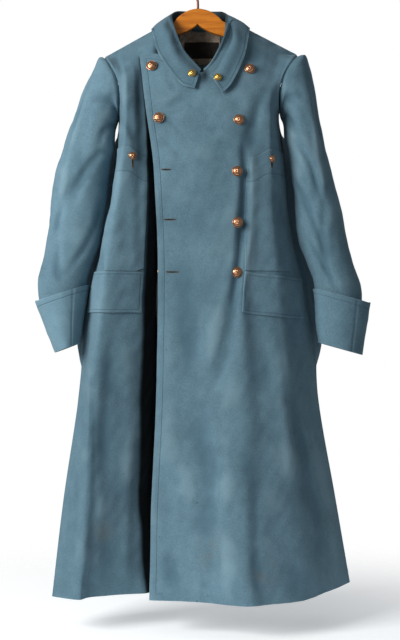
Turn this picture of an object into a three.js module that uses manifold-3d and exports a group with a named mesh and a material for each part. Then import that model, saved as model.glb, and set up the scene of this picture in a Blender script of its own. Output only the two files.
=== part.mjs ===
// A long double-breasted military greatcoat hanging on a wooden hanger.
// Millimetres, +Z up, front towards -Y, wearer's left towards +X.
// The origin is the point inside the hanger's hook that bears on a rail.
import * as THREE from 'three';
import { mergeVertices } from 'three/addons/utils/BufferGeometryUtils.js';
import Module from 'manifold-3d';

const wasm = await Module();
wasm.setup();

// ---------------------------------------------------------------- driving dimensions
const cloth = { wall: 2.6, doubled: 3, seam: 0.3, patch: 2.2, facing: 1.2, sliver: 0.1, gapCut: 0.42 };

const body = {
  centreX: 4,
  shoulderApexZ: -65,        // where both shoulder lines would meet over the neck
  shoulderSlope: { left: 0.52, right: 0.558 },
  shoulderRound: 75,         // drop over which the cloth turns from the shoulder to the hang
  shoulderPower: 2.2,
  neckHalfWidth: 66,
  neckFrontZ: -227,
  neckPower: 1.9,
  backNeckZ: -113,
  hemZ: -1327,
  leftHemZ: -1317,
};

const armholes = {
  left: { side: 1, topX: 214, topZ: -176, bottomX: 176, bottomZ: -300, front: 54, back: 50, inward: 17 },
  right: { side: -1, topX: -201, topZ: -180, bottomX: -171, bottomZ: -316, front: 56, back: 52, inward: 18 },
};

// Side seams below the armholes: distance below the hook, then the place of each seam.
const sideSeams = [
  { down: 300, rightX: -170, rightY: 0, leftX: 176, leftY: 0 },
  { down: 430, rightX: -178, rightY: 0, leftX: 189, leftY: 0 },
  { down: 500, rightX: -187, rightY: -2, leftX: 194, leftY: 2 },
  { down: 573, rightX: -199, rightY: -4, leftX: 206, leftY: 4 },
  { down: 650, rightX: -224, rightY: -6, leftX: 224, leftY: 6 },
  { down: 722, rightX: -237, rightY: -10, leftX: 238, leftY: 8 },
  { down: 793, rightX: -244, rightY: -14, leftX: 250, leftY: 12 },
  { down: 910, rightX: -257, rightY: -20, leftX: 262, leftY: 20 },
  { down: 1130, rightX: -288, rightY: -38, leftX: 301, leftY: 36 },
  { down: 1327, rightX: -310, rightY: -50, leftX: 336, leftY: 50 },
];

// Left front, from its free edge across the overlap to the side seam: a row for each level.
const leftFront = [
  { down: 180, edgeX: -124, edgeY: -54, centreX: 0, centreY: -72, ridgeX: 108, ridgeY: -56,
    valleyX: 140, valleyY: -50, planeX: 176, planeY: -38 },
  { down: 300, edgeX: -109, edgeY: -88, centreX: 0, centreY: -92, ridgeX: 90, ridgeY: -86,
    valleyX: 122, valleyY: -80, planeX: 150, planeY: -74 },
  { down: 430, edgeX: -92, edgeY: -94, centreX: 0, centreY: -99, ridgeX: 84, ridgeY: -94,
    valleyX: 110, valleyY: -82, planeX: 150, planeY: -73 },
  { down: 650, edgeX: -83, edgeY: -96, centreX: 0, centreY: -101, ridgeX: 82, ridgeY: -98,
    valleyX: 108, valleyY: -86, planeX: 162, planeY: -75 },
  { down: 910, edgeX: -87, edgeY: -94, centreX: -5, centreY: -101, ridgeX: 88, ridgeY: -110,
    valleyX: 134, valleyY: -96, planeX: 192, planeY: -74 },
  { down: 1130, edgeX: -97, edgeY: -91, centreX: -5, centreY: -104, ridgeX: 84, ridgeY: -128,
    valleyX: 142, valleyY: -106, planeX: 208, planeY: -80 },
  { down: 1327, edgeX: -101, edgeY: -89, centreX: -5, centreY: -108, ridgeX: 101, ridgeY: -150,
    valleyX: 152, valleyY: -130, planeX: 219, planeY: -98 },
];

// Right front, from the side seam to the hidden edge of the underlap. Beside the overlap's edge
// it folds deep into the coat and out again, which leaves a dark gap there.
const rightFront = [
  { down: 180, stripX: -177, stripY: -36, foldX: -162, foldY: -42, panelX: -143, panelY: -46, gapX: -120, gapY: -46,
    innerX: -101, innerY: -51, riseX: -96, riseY: -52, edgeX: 66, edgeY: -62 },
  { down: 240, stripX: -159, stripY: -60, foldX: -149, foldY: -68, panelX: -135, panelY: -66, gapX: -117, gapY: -60,
    innerX: -103, innerY: -63, riseX: -95, riseY: -66, edgeX: 66, edgeY: -73 },
  { down: 300, stripX: -159, stripY: -66, foldX: -148, foldY: -80, panelX: -134, panelY: -76, gapX: -113, gapY: -66,
    innerX: -100, innerY: -60, riseX: -88, riseY: -76, edgeX: 66, edgeY: -80 },
  { down: 430, stripX: -170, stripY: -52, foldX: -158, foldY: -78, panelX: -134, panelY: -72, gapX: -106, gapY: -58,
    innerX: -93, innerY: -34, riseX: -80, riseY: -80, edgeX: 66, edgeY: -84 },
  { down: 650, stripX: -212, stripY: -54, foldX: -190, foldY: -80, panelX: -152, panelY: -70, gapX: -113, gapY: -56,
    innerX: -89, innerY: -12, riseX: -76, riseY: -83, edgeX: 66, edgeY: -84 },
  { down: 910, stripX: -226, stripY: -76, foldX: -211, foldY: -76, panelX: -170, panelY: -62, gapX: -126, gapY: -44,
    innerX: -91, innerY: 2, riseX: -74, riseY: -82, edgeX: 66, edgeY: -84 },
  { down: 1130, stripX: -233, stripY: -84, foldX: -214, foldY: -74, panelX: -172, panelY: -56, gapX: -127, gapY: -36,
    innerX: -99, innerY: 4, riseX: -84, riseY: -82, edgeX: 66, edgeY: -86 },
  { down: 1327, stripX: -248, stripY: -86, foldX: -229, foldY: -62, panelX: -178, panelY: -40, gapX: -112, gapY: -22,
    innerX: -98, innerY: -4, riseX: -88, riseY: -82, edgeX: 66, edgeY: -88 },
];

// Back, from the wearer's right side seam to the left one. Below the armholes it is fuller than
// the fronts and stands out behind the sleeves.
const backPanel = [
  { down: 180, quarterRX: -150, quarterRY: 32, foldRX: -75, foldRY: 50, centreX: 4, centreY: 54,
    foldLX: 84, foldLY: 50, quarterLX: 165, quarterLY: 32 },
  { down: 300, quarterRX: -142, quarterRY: 70, foldRX: -75, foldRY: 82, centreX: 4, centreY: 85,
    foldLX: 84, foldLY: 82, quarterLX: 152, quarterLY: 70 },
  { down: 350, quarterRX: -182, quarterRY: 64, foldRX: -77, foldRY: 84, centreX: 4, centreY: 87,
    foldLX: 86, foldLY: 84, quarterLX: 191, quarterLY: 64 },
  { down: 430, quarterRX: -203, quarterRY: 52, foldRX: -80, foldRY: 86, centreX: 5, centreY: 89,
    foldLX: 90, foldLY: 86, quarterLX: 213, quarterLY: 54 },
  { down: 540, quarterRX: -220, quarterRY: 46, foldRX: -85, foldRY: 83, centreX: 5, centreY: 87,
    foldLX: 94, foldLY: 83, quarterLX: 228, quarterLY: 50 },
  { down: 650, quarterRX: -249, quarterRY: 42, foldRX: -90, foldRY: 80, centreX: 5, centreY: 85,
    foldLX: 98, foldLY: 80, quarterLX: 255, quarterLY: 50 },
  { down: 722, quarterRX: -258, quarterRY: 42, foldRX: -95, foldRY: 80, centreX: 5, centreY: 88,
    foldLX: 104, foldLY: 80, quarterLX: 265, quarterLY: 52 },
  { down: 793, quarterRX: -262, quarterRY: 42, foldRX: -99, foldRY: 81, centreX: 5, centreY: 91,
    foldLX: 109, foldLY: 80, quarterLX: 268, quarterLY: 56 },
  { down: 910, quarterRX: -243, quarterRY: 44, foldRX: -105, foldRY: 82, centreX: 5, centreY: 96,
    foldLX: 115, foldLY: 80, quarterLX: 247, quarterLY: 68 },
  { down: 1130, quarterRX: -262, quarterRY: 34, foldRX: -112, foldRY: 78, centreX: 8, centreY: 110,
    foldLX: 120, foldLY: 78, quarterLX: 270, quarterLY: 86 },
  { down: 1327, quarterRX: -282, quarterRY: 30, foldRX: -116, foldRY: 74, centreX: 10, centreY: 124,
    foldLX: 125, foldLY: 76, quarterLX: 300, quarterLY: 98 },
];

// Sleeves: a row for each ring, from the armhole down. The outer and inner points lie at the
// arm's far and near side, front and back are the depths of the ring before and behind them.
const sleeves = {
  left: [
    { outerX: 229, outerZ: -175, innerX: 180, innerZ: -309, midY: -1, front: 56, back: 54, inward: 13 },
    { outerX: 241, outerZ: -205, innerX: 185, innerZ: -322, midY: -3, front: 58, back: 55, inward: 8 },
    { outerX: 250, outerZ: -250, innerX: 189, innerZ: -342, midY: -6, front: 58, back: 54, inward: 4 },
    { outerX: 258, outerZ: -300, innerX: 193, innerZ: -368, midY: -9, front: 56, back: 52, inward: 1 },
    { outerX: 273, outerZ: -372, innerX: 198, innerZ: -412, midY: -12, front: 53, back: 48, inward: 0 },
    { outerX: 292, outerZ: -458, innerX: 205, innerZ: -484, midY: -15, front: 50, back: 45, inward: 0 },
    { outerX: 311, outerZ: -540, innerX: 213, innerZ: -556, midY: -18, front: 48, back: 42, inward: 0 },
    { outerX: 331, outerZ: -620, innerX: 231, innerZ: -620, midY: -20, front: 46, back: 40, inward: 0 },
    { outerX: 349, outerZ: -690, innerX: 249, innerZ: -672, midY: -20, front: 43, back: 37, inward: 0 },
    { outerX: 350, outerZ: -742, innerX: 255, innerZ: -715, midY: -20, front: 41, back: 35, inward: 0 },
  ],
  right: [
    { outerX: -211, outerZ: -181, innerX: -175, innerZ: -325, midY: -1, front: 58, back: 55, inward: 14 },
    { outerX: -224, outerZ: -207, innerX: -178, innerZ: -336, midY: -3, front: 59, back: 56, inward: 8 },
    { outerX: -243, outerZ: -246, innerX: -181, innerZ: -352, midY: -6, front: 58, back: 54, inward: 4 },
    { outerX: -259, outerZ: -292, innerX: -184, innerZ: -376, midY: -9, front: 56, back: 52, inward: 1 },
    { outerX: -280, outerZ: -352, innerX: -187, innerZ: -410, midY: -12, front: 53, back: 48, inward: 0 },
    { outerX: -304, outerZ: -430, innerX: -193, innerZ: -466, midY: -15, front: 50, back: 45, inward: 0 },
    { outerX: -317, outerZ: -510, innerX: -202, innerZ: -530, midY: -18, front: 47, back: 42, inward: 0 },
    { outerX: -325, outerZ: -585, innerX: -213, innerZ: -585, midY: -20, front: 46, back: 40, inward: 0 },
    { outerX: -342, outerZ: -660, innerX: -234, innerZ: -650, midY: -22, front: 43, back: 38, inward: 0 },
    { outerX: -336, outerZ: -720, innerX: -241, innerZ: -700, midY: -22, front: 41, back: 37, inward: 0 },
  ],
};

// Turned-back cuffs: top edge, middle and the fold at the bottom.
const cuffs = {
  left: [
    { outerX: 368, outerZ: -709, innerX: 245, innerZ: -675, midY: -20, front: 52, back: 46, inward: 0 },
    { outerX: 359, outerZ: -762, innerX: 250, innerZ: -733, midY: -20, front: 47, back: 41, inward: 0 },
    { outerX: 349, outerZ: -818, innerX: 256, innerZ: -792, midY: -20, front: 42, back: 36, inward: 0 },
  ],
  right: [
    { outerX: -347, outerZ: -705, innerX: -231, innerZ: -668, midY: -22, front: 52, back: 46, inward: 0 },
    { outerX: -326, outerZ: -758, innerX: -242, innerZ: -732, midY: -22, front: 50, back: 44, inward: 0 },
    { outerX: -304, outerZ: -813, innerX: -251, innerZ: -793, midY: -22, front: 48, back: 42, inward: 0 },
  ],
};

// Turned-down collar: a row for each section from the right wing round the back to the left
// wing, with the fold along its top, the free edge and the seam to the neck.
const collarSections = [
  { rollX: 6, rollY: -72, rollZ: -218, edgeX: -7, edgeY: -90, edgeZ: -262, seamX: 2 },
  { rollX: -10, rollY: -65, rollZ: -199, edgeX: -28, edgeY: -88, edgeZ: -256, seamX: -16 },
  { rollX: -31, rollY: -48, rollZ: -173, edgeX: -64, edgeY: -74, edgeZ: -215, seamX: -36 },
  { rollX: -49, rollY: -20, rollZ: -127, edgeX: -86, edgeY: -52, edgeZ: -176, seamX: -54 },
  { rollX: -56, rollY: 2, rollZ: -92, edgeX: -99, edgeY: -2, edgeZ: -117, seamX: -62 },
  { rollX: -42, rollY: 34, rollZ: -73, edgeX: -68, edgeY: 58, edgeZ: -130, seamX: -46 },
  { rollX: 4, rollY: 50, rollZ: -70, edgeX: 4, edgeY: 66, edgeZ: -138, seamX: 4 },
  { rollX: 48, rollY: 34, rollZ: -72, edgeX: 78, edgeY: 58, edgeZ: -129, seamX: 54 },
  { rollX: 60, rollY: 2, rollZ: -92, edgeX: 111, edgeY: -2, edgeZ: -116, seamX: 70 },
  { rollX: 58, rollY: -20, rollZ: -130, edgeX: 101, edgeY: -52, edgeZ: -178, seamX: 62 },
  { rollX: 42, rollY: -48, rollZ: -175, edgeX: 88, edgeY: -76, edgeZ: -215, seamX: 46 },
  { rollX: 26, rollY: -64, rollZ: -205, edgeX: 66, edgeY: -90, edgeZ: -257, seamX: 27 },
  { rollX: 13, rollY: -72, rollZ: -219, edgeX: 50, edgeY: -92, edgeZ: -271, seamX: 13 },
];
const collar = { rollRadius: 4, seamLift: 2.2, layOff: 3.4 };

// Pocket pieces: stations give the span across the front they lie on, see stationNames below.
// slant is the share of the top's width, towards the front edge, over which it drops.
const pockets = {
  breast: {
    left: { topZ: -386, topAtEdgeZ: -404, bottomZ: -641, topSpan: [2.72, 4.93], bottomSpan: [2.5, 4.6],
      slant: [0.38, 0.8] },
    right: { topZ: -381, topAtEdgeZ: -401, bottomZ: -641, topSpan: [0.12, 3.92], bottomSpan: [1.8, 3.92],
      slant: [0.6, 1] },
  },
  flap: {
    left: { topZ: -642, bottomZ: -727, dropAtSide: 14, topSpan: [2.5, 4.94], bottomSpan: [2.2, 4.7] },
    right: { topZ: -642, bottomZ: -728, dropAtSide: 0, topSpan: [0.45, 3.94], bottomSpan: [0.2, 3.94] },
  },
};

const buttonSizes = {
  large: { radius: 11, dome: 5.2, rim: 1.6, shank: 3, shankRadius: 3.2 },
  small: { radius: 8, dome: 3.8, rim: 1.3, shank: 2, shankRadius: 2.4 },
};
const leftRow = [
  { x: 108, z: -218 }, { x: 85, z: -327 }, { x: 81, z: -435 }, { x: 82, z: -541 }, { x: 81, z: -644 },
];
const fastenedRow = [{ x: -97, z: -211 }, { x: -81, z: -323 }];
const underRow = [{ x: -64, z: -435 }, { x: -64, z: -541 }, { x: -73, z: -643 }];
const pocketButtons = { left: { x: 153, z: -406 }, right: { x: -138, z: -400 } };
const collarButtons = { left: { x: 42, z: -240 }, right: { x: -13, z: -232 } };

const lining = { halfWidth: 46, topZ: -113, bottomZ: -185 };
const label = { fromX: -31, toX: 46, topZ: -136, bottomZ: -171, thickness: 0.8 };

const hanger = {
  archTopZ: -75, notchZ: -109, archReach: 52, archEndZ: -104, armHeight: 27, tipHeight: 16,
  tipX: { left: 200, right: -190 }, thickness: 14, bevel: 3, clearance: 8.4,
};
const hook = { wire: 5, bend: 20, lean: 8, stemFootZ: -74 };

const colours = {
  cloth: 0x62839a, lining: 0x594c3f, label: 0x14100c,
  copper: 0xb9825c, brass: 0xc9a14a, wood: 0xc1712c, wire: 0x6b3a22,
};

// ---------------------------------------------------------------- shape functions
const mix = (a, b, t) => a + (b - a) * t;

// Smooth curve through values at rising keys, with no overshoot between them.
function smooth(keys, values, at) {
  const last = keys.length - 1;
  const t = Math.min(Math.max(at, keys[0]), keys[last]);
  let i = 0;
  while (i < last - 1 && t > keys[i + 1]) i += 1;
  const secant = (k) => (values[k + 1] - values[k]) / (keys[k + 1] - keys[k]);
  const slope = (k) => {
    if (k === 0) return secant(0);
    if (k === last) return secant(last - 1);
    const before = secant(k - 1);
    const after = secant(k);
    return before * after <= 0 ? 0 : (2 * before * after) / (before + after);
  };
  const span = keys[i + 1] - keys[i];
  const f = (t - keys[i]) / span;
  const g = 1 - f;
  return g * g * (1 + 2 * f) * values[i] + f * f * (3 - 2 * f) * values[i + 1]
    + span * f * g * (g * slope(i) - f * slope(i + 1));
}

const column = (table, name, down) =>
  smooth(table.map((row) => row.down), table.map((row) => row[name]), down);

const shoulderZ = (x) => {
  const away = x - body.centreX;
  const slope = away > 0 ? body.shoulderSlope.left : body.shoulderSlope.right;
  return body.shoulderApexZ - slope * Math.abs(away);
};

// How far the cloth has turned from the shoulder line into its hang, 0 to 1.
const fullness = (x, z) => {
  const drop = Math.min(Math.max((shoulderZ(x) - z) / body.shoulderRound, 0), 1);
  return 1 - (1 - drop) ** body.shoulderPower;
};

const neckZ = (x, lowest) => {
  const share = Math.min(Math.abs(x - body.centreX) / body.neckHalfWidth, 1);
  const point = shoulderZ(body.centreX + Math.sign(x - body.centreX) * body.neckHalfWidth);
  return mix(lowest, point, share ** body.neckPower);
};

// The armhole's edge at a height, or the side seam below it. face is -1 in front, 1 behind.
function sideEdge(name, z, face) {
  const hole = armholes[name];
  if (z >= hole.bottomZ) {
    const k = Math.min(Math.max((hole.topZ - z) / (hole.topZ - hole.bottomZ), 0), 1);
    const bow = 4 * k * (1 - k);
    const depth = face < 0 ? hole.front : hole.back;
    return {
      x: mix(hole.topX, hole.bottomX, k) - hole.side * hole.inward * bow,
      y: face * depth * Math.sqrt(bow),
    };
  }
  const into = Math.min((hole.bottomZ - z) / 130, 1);
  const x = column(sideSeams, `${name}X`, -z);
  return { x: mix(hole.bottomX, x, into), y: column(sideSeams, `${name}Y`, -z) };
}

const stationNames = {
  left: ['edge', 'centre', 'ridge', 'valley', 'plane'],
  right: ['strip', 'fold', 'panel', 'gap', 'inner', 'rise', 'edge'],
  back: ['quarterR', 'foldR', 'centre', 'foldL', 'quarterL'],
};

// Each panel's outer surface: u counts its stations, z is the height.
const stations = (table, names, z) => names.map((name) => {
  const x = column(table, `${name}X`, -z);
  return { x, y: column(table, `${name}Y`, -z) * fullness(x, z) };
});
const sections = {
  left: (z) => [...stations(leftFront, stationNames.left, z), sideEdge('left', z, -1)],
  right: (z) => [sideEdge('right', z, -1), ...stations(rightFront, stationNames.right, z)],
  back: (z) => [sideEdge('right', z, 1), ...stations(backPanel, stationNames.back, z),
    sideEdge('left', z, 1)],
};
function surface(panel, u, z) {
  const row = sections[panel](z);
  const keys = row.map((_, i) => i);
  return new THREE.Vector3(
    smooth(keys, row.map((p) => p.x), u),
    smooth(keys, row.map((p) => p.y), u),
    z,
  );
}

function normal(panel, u, z) {
  const stationCount = sections[panel](z).length - 1;
  const du = 0.03;
  const dz = 1.5;
  const a = surface(panel, Math.max(u - du, 0), z);
  const b = surface(panel, Math.min(u + du, stationCount), z);
  const c = surface(panel, u, z + dz);
  const d = surface(panel, u, z - dz);
  const face = b.sub(a).cross(d.sub(c)).normalize();
  return panel === 'back' ? face : face.negate();
}

// The station at which a panel's surface has a given x at a given height.
function stationAt(panel, x, z, from, to) {
  let low = from;
  let high = to;
  for (let i = 0; i < 40; i += 1) {
    const middle = (low + high) / 2;
    if (surface(panel, middle, z).x < x) low = middle;
    else high = middle;
  }
  return (low + high) / 2;
}

// ---------------------------------------------------------------- solids
const solidFrom = (numbers, triangles) => new wasm.Manifold(new wasm.Mesh({
  numProp: 3, vertProperties: new Float32Array(numbers), triVerts: new Uint32Array(triangles),
}));

// The closed solid between two grids of points; wrap joins the last column to the first.
function between({ outer, inner, wrap = false }) {
  const rows = outer.length;
  const columns = outer[0].length;
  const points = [...outer.flat(), ...inner.flat()];
  const far = rows * columns;
  const faces = [];
  const quad = (a, b, c, d) => faces.push([a, b, c], [a, c, d]);
  const spans = wrap ? columns : columns - 1;
  const at = (r, c) => r * columns + (c % columns);
  for (let c = 0; c < spans; c += 1) {
    for (let r = 0; r < rows - 1; r += 1) {
      quad(at(r, c), at(r + 1, c), at(r + 1, c + 1), at(r, c + 1));
      quad(far + at(r, c), far + at(r, c + 1), far + at(r + 1, c + 1), far + at(r + 1, c));
    }
    quad(at(0, c), at(0, c + 1), far + at(0, c + 1), far + at(0, c));
    quad(at(rows - 1, c), far + at(rows - 1, c), far + at(rows - 1, c + 1), at(rows - 1, c + 1));
  }
  for (let r = 0; !wrap && r < rows - 1; r += 1) {
    const end = columns - 1;
    quad(at(r, 0), far + at(r, 0), far + at(r + 1, 0), at(r + 1, 0));
    quad(at(r, end), at(r + 1, end), far + at(r + 1, end), far + at(r, end));
  }
  const volume = faces.reduce((sum, [i, j, k]) =>
    sum + points[i].dot(points[j].clone().cross(points[k])), 0);
  const turned = volume < 0 ? faces.map(([i, j, k]) => [i, k, j]) : faces;
  return solidFrom(points.flatMap((p) => [p.x, p.y, p.z]), turned.flat());
}

// A wall with its faces moved apart by a seam gap, for cutting its neighbours clear of it.
// Copies moved along the given axes widen its edges as well.
function grown(item, axes = []) {
  const by = cloth.gapCut;
  const push = (from, to) => from.map((row, r) => row.map((p, c) =>
    p.clone().add(p.clone().sub(to[r][c]).setLength(by))));
  const { outer, inner, wrap } = item;
  const solid = between(item);
  const copies = axes.map((axis) => solid.translate(axis.map((share) => share * by)));
  const thick = between({ outer: push(outer, inner), inner: push(inner, outer), wrap });
  return wasm.Manifold.union([thick, solid, ...copies]);
}

function solidOf(geometry) {
  const bare = geometry.clone();
  bare.deleteAttribute('normal');
  bare.deleteAttribute('uv');
  const merged = mergeVertices(bare);
  return solidFrom(merged.attributes.position.array, merged.index.array);
}

// A solid less its cutters; crumbs and slivers that a cut leaves are dropped.
function carved(solid, cutters) {
  const cut = cutters.reduce((left, cutter) => left.subtract(cutter), solid).simplify(cloth.sliver);
  return cut.decompose().sort((a, b) => b.volume() - a.volume())[0];
}

function namedMesh(name, solid, look) {
  const { vertProperties, triVerts } = solid.getMesh();
  const geometry = new THREE.BufferGeometry();
  geometry.setAttribute('position', new THREE.BufferAttribute(vertProperties, 3));
  geometry.setIndex(new THREE.BufferAttribute(triVerts, 1));
  geometry.computeVertexNormals();
  const mesh = new THREE.Mesh(geometry, new THREE.MeshStandardMaterial(look));
  mesh.name = name;
  return mesh;
}

const finish = (color, roughness, metalness = 0) => ({ color, roughness, metalness });
const woollen = finish(colours.cloth, 0.95);
const satin = finish(colours.lining, 0.6);
const woven = finish(colours.label, 0.7);
const copper = finish(colours.copper, 0.38, 0.85);
const brass = finish(colours.brass, 0.35, 0.85);
const varnished = finish(colours.wood, 0.35);
const wire = finish(colours.wire, 0.4, 0.7);

// ---------------------------------------------------------------- fronts and back
const topEdge = {
  left: (x) => {
    if (x > body.centreX) {
      return x < body.centreX + body.neckHalfWidth ? neckZ(x, body.neckFrontZ) : shoulderZ(x);
    }
    return smooth([-124, -85, -65, -30, body.centreX], [-180, -183, -191, -215, body.neckFrontZ], x);
  },
  right: (x) => {
    if (x > body.centreX) return body.neckFrontZ;
    return x > body.centreX - body.neckHalfWidth ? neckZ(x, body.neckFrontZ) : shoulderZ(x);
  },
  back: (x) => (Math.abs(x - body.centreX) < body.neckHalfWidth ? neckZ(x, body.backNeckZ) : shoulderZ(x)),
};
const hemEdge = {
  left: (u) => mix(body.hemZ, body.leftHemZ, Math.max(u - 4, 0)),
  right: () => body.hemZ,
  back: (u) => mix(body.hemZ, body.leftHemZ, u / 6),
};

function topZ(panel, u) {
  let z = -180;
  for (let i = 0; i < 12; i += 1) z = mix(z, topEdge[panel](surface(panel, u, z).x), 0.7);
  return z;
}

// Shares of an armhole's height at which panels and sleeves both have their points.
const holeShares = [0, 0.03, 0.1, 0.22, 0.4, 0.6, 0.78, 0.91, 0.98, 1];

// Shares of a column's height at which a panel has its rows, the armhole's above the others.
function rowShares(under, lowRows) {
  const lower = Array.from({ length: lowRows }, (_, i) => mix(under, 1, (i + 1) / lowRows));
  return [...holeShares.map((k) => k * under), ...lower];
}
const underShare = (hole) => (hole.topZ - hole.bottomZ) / (hole.topZ - body.hemZ);
const underShareAt = (panel, across) => ({
  left: underShare(armholes.left),
  right: underShare(armholes.right),
  back: mix(underShare(armholes.right), underShare(armholes.left), across),
}[panel]);

function panelWall(panel, columnsPerStation, lowRows) {
  const count = sections[panel](-600).length - 1;
  const face = panel === 'back' ? 1 : -1;
  const half = cloth.seam / 2;
  const columns = Array.from({ length: count * columnsPerStation + 1 }, (_, i) => i / columnsPerStation);
  const sides = { left: [count], right: [0], back: [0, count] }[panel];
  const outer = [];
  const inner = [];
  for (let row = 0; row < holeShares.length + lowRows; row += 1) {
    const outerRow = [];
    const innerRow = [];
    for (const u of columns) {
      const share = rowShares(underShareAt(panel, u / count), lowRows)[row];
      const seamed = sides.includes(u);
      const hole = u === 0 ? armholes.right : armholes.left;
      const top = seamed ? hole.topZ : topZ(panel, u);
      const z = mix(top, hemEdge[panel](u), share);
      const point = surface(panel, u, z);
      const inward = normal(panel, u, z).negate();
      if (seamed && z > hole.bottomZ + 1) {
        if (inward.x * hole.side > 0) inward.x = 0;
      } else if (seamed) {
        inward.set(-hole.side, 0, 0);
      }
      const inside = point.clone().addScaledVector(inward.normalize(), cloth.wall);
      // fronts and back keep to their own side of the shoulder line, and of the side seam below it
      const besideHole = z > hole.bottomZ + 1;
      const limit = besideHole ? 0 : seamed ? point.y : -face * Infinity;
      for (const p of [point, inside]) {
        p.y = face < 0 ? Math.min(p.y, limit - half) : Math.max(p.y, limit + half);
      }
      outerRow.push(point);
      innerRow.push(inside);
    }
    outer.push(outerRow);
    inner.push(innerRow);
  }
  return { outer, inner };
}

// ---------------------------------------------------------------- sleeves and cuffs
function ringPoint(table, at, angle, side, thickness = 0) {
  const keys = table.map((_, i) => i);
  const value = (name) => smooth(keys, table.map((row) => row[name]), at);
  const outer = new THREE.Vector2(value('outerX'), value('outerZ'));
  const inner = new THREE.Vector2(value('innerX'), value('innerZ'));
  const middle = outer.clone().add(inner).multiplyScalar(0.5);
  const reach = outer.clone().sub(inner).multiplyScalar(0.5);
  const s = Math.sin(angle);
  const depth = s > 0 ? value('front') : value('back');
  const point = new THREE.Vector3(
    middle.x + Math.cos(angle) * reach.x - side * value('inward') * s * s,
    value('midY') - s * depth,
    middle.y + Math.cos(angle) * reach.y,
  );
  if (!thickness) return point;
  const inward = new THREE.Vector3(
    -Math.cos(angle) * reach.x / reach.length() * Math.min(at, 1), s,
    -Math.cos(angle) * reach.y / reach.length());
  return point.addScaledVector(inward.normalize(), thickness);
}

function sleeveTable(name) {
  const hole = armholes[name];
  const seam = {
    outerX: hole.topX + hole.side * cloth.seam, outerZ: hole.topZ,
    innerX: hole.bottomX + hole.side * cloth.seam, innerZ: hole.bottomZ,
    midY: 0, front: hole.front, back: hole.back, inward: hole.inward,
  };
  const fold = cuffs[name][2];
  const hidden = cloth.doubled + cloth.seam;
  const end = {
    outerX: fold.outerX - hole.side * hidden, outerZ: fold.outerZ + 1,
    innerX: fold.innerX + hole.side * hidden, innerZ: fold.innerZ + 1,
    midY: fold.midY, front: fold.front - hidden, back: fold.back - hidden, inward: 0,
  };
  return [seam, ...sleeves[name], end];
}

const frontAngles = holeShares.map((k) => Math.acos(1 - 2 * k));
const ringAngles = [...frontAngles, ...frontAngles.slice(1, -1).reverse().map((a) => 2 * Math.PI - a)];

function tubeWall(table, side, along, thickness) {
  const outer = [];
  const inner = [];
  for (let r = 0; r <= along; r += 1) {
    const at = ((table.length - 1) * r) / along;
    outer.push(ringAngles.map((a) => ringPoint(table, at, a, side)));
    inner.push(ringAngles.map((a) => ringPoint(table, at, a, side, thickness)));
  }
  return { outer, inner, wrap: true };
}

// ---------------------------------------------------------------- collar
// A point on the collar's centre surface: across runs 0 at the neck seam, 1 over the fold at
// the top, 2 at the free edge.
function collarFrame(at) {
  const keys = collarSections.map((_, i) => i);
  const value = (name) => smooth(keys, collarSections.map((row) => row[name]), at);
  const roll = new THREE.Vector3(value('rollX'), value('rollY'), value('rollZ'));
  const edge = new THREE.Vector3(value('edgeX'), value('edgeY'), value('edgeZ'));
  const x = value('seamX');
  const behind = at > 4 && at < 8;
  const z = neckZ(x, behind ? body.backNeckZ : body.neckFrontZ);
  const panel = at < 4 ? 'right' : behind ? 'back' : 'left';
  const y = column({ right: rightFront, back: backPanel, left: leftFront }[panel],
    { right: 'innerY', back: 'centreY', left: 'centreY' }[panel], -z) * fullness(x, z);
  const seam = new THREE.Vector3(x, y, z + collar.seamLift);
  return { roll, edge, seam };
}

const clearOfFronts = (p) => {
  if (p.z > shoulderZ(p.x)) return p;
  const panel = p.y > 0 ? 'back' : 'left';
  const row = sections[panel](p.z);
  const at = stationAt(panel, p.x, p.z, 0, row.length - 1);
  const y = surface(panel, at, p.z).y;
  if (p.y > 0) p.y = Math.max(p.y, y + collar.layOff);
  else p.y = Math.min(p.y, y - collar.layOff);
  return p;
};

function collarProfile(at) {
  const { roll, edge, seam } = collarFrame(at);
  const up = new THREE.Vector3().subVectors(roll, seam);
  const down = new THREE.Vector3().subVectors(edge, roll);
  const out = down.clone().projectOnPlane(up.clone().normalize()).normalize();
  const round = collar.rollRadius;
  const rise = up.clone().normalize();
  return [
    seam,
    seam.clone().addScaledVector(up, 0.5),
    roll.clone().addScaledVector(rise, -round).addScaledVector(out, -round * 0.6),
    roll.clone().addScaledVector(rise, -round * 0.2).addScaledVector(out, -round * 0.1),
    roll.clone().addScaledVector(out, round),
    clearOfFronts(roll.clone().addScaledVector(down, 0.36).addScaledVector(out, round * 0.6)),
    clearOfFronts(roll.clone().addScaledVector(down, 0.7).addScaledVector(out, round * 0.4)),
    clearOfFronts(edge),
  ];
}

function collarWall(columns) {
  const outer = [];
  const inner = [];
  const half = cloth.doubled / 2;
  const last = collarSections.length - 1;
  const grid = Array.from({ length: columns + 1 }, (_, i) => collarProfile((last * i) / columns));
  grid.forEach((profile, i) => {
    const before = grid[Math.max(i - 1, 0)];
    const after = grid[Math.min(i + 1, columns)];
    const faces = profile.map((p, k) => {
      const lengthwise = after[k].clone().sub(before[k]);
      const crosswise = profile[Math.min(k + 1, profile.length - 1)].clone()
        .sub(profile[Math.max(k - 1, 0)]);
      return crosswise.cross(lengthwise).normalize();
    });
    outer.push(profile.map((p, k) => p.clone().addScaledVector(faces[k], half)));
    inner.push(profile.map((p, k) => p.clone().addScaledVector(faces[k], -half)));
  });
  return { outer, inner };
}

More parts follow.
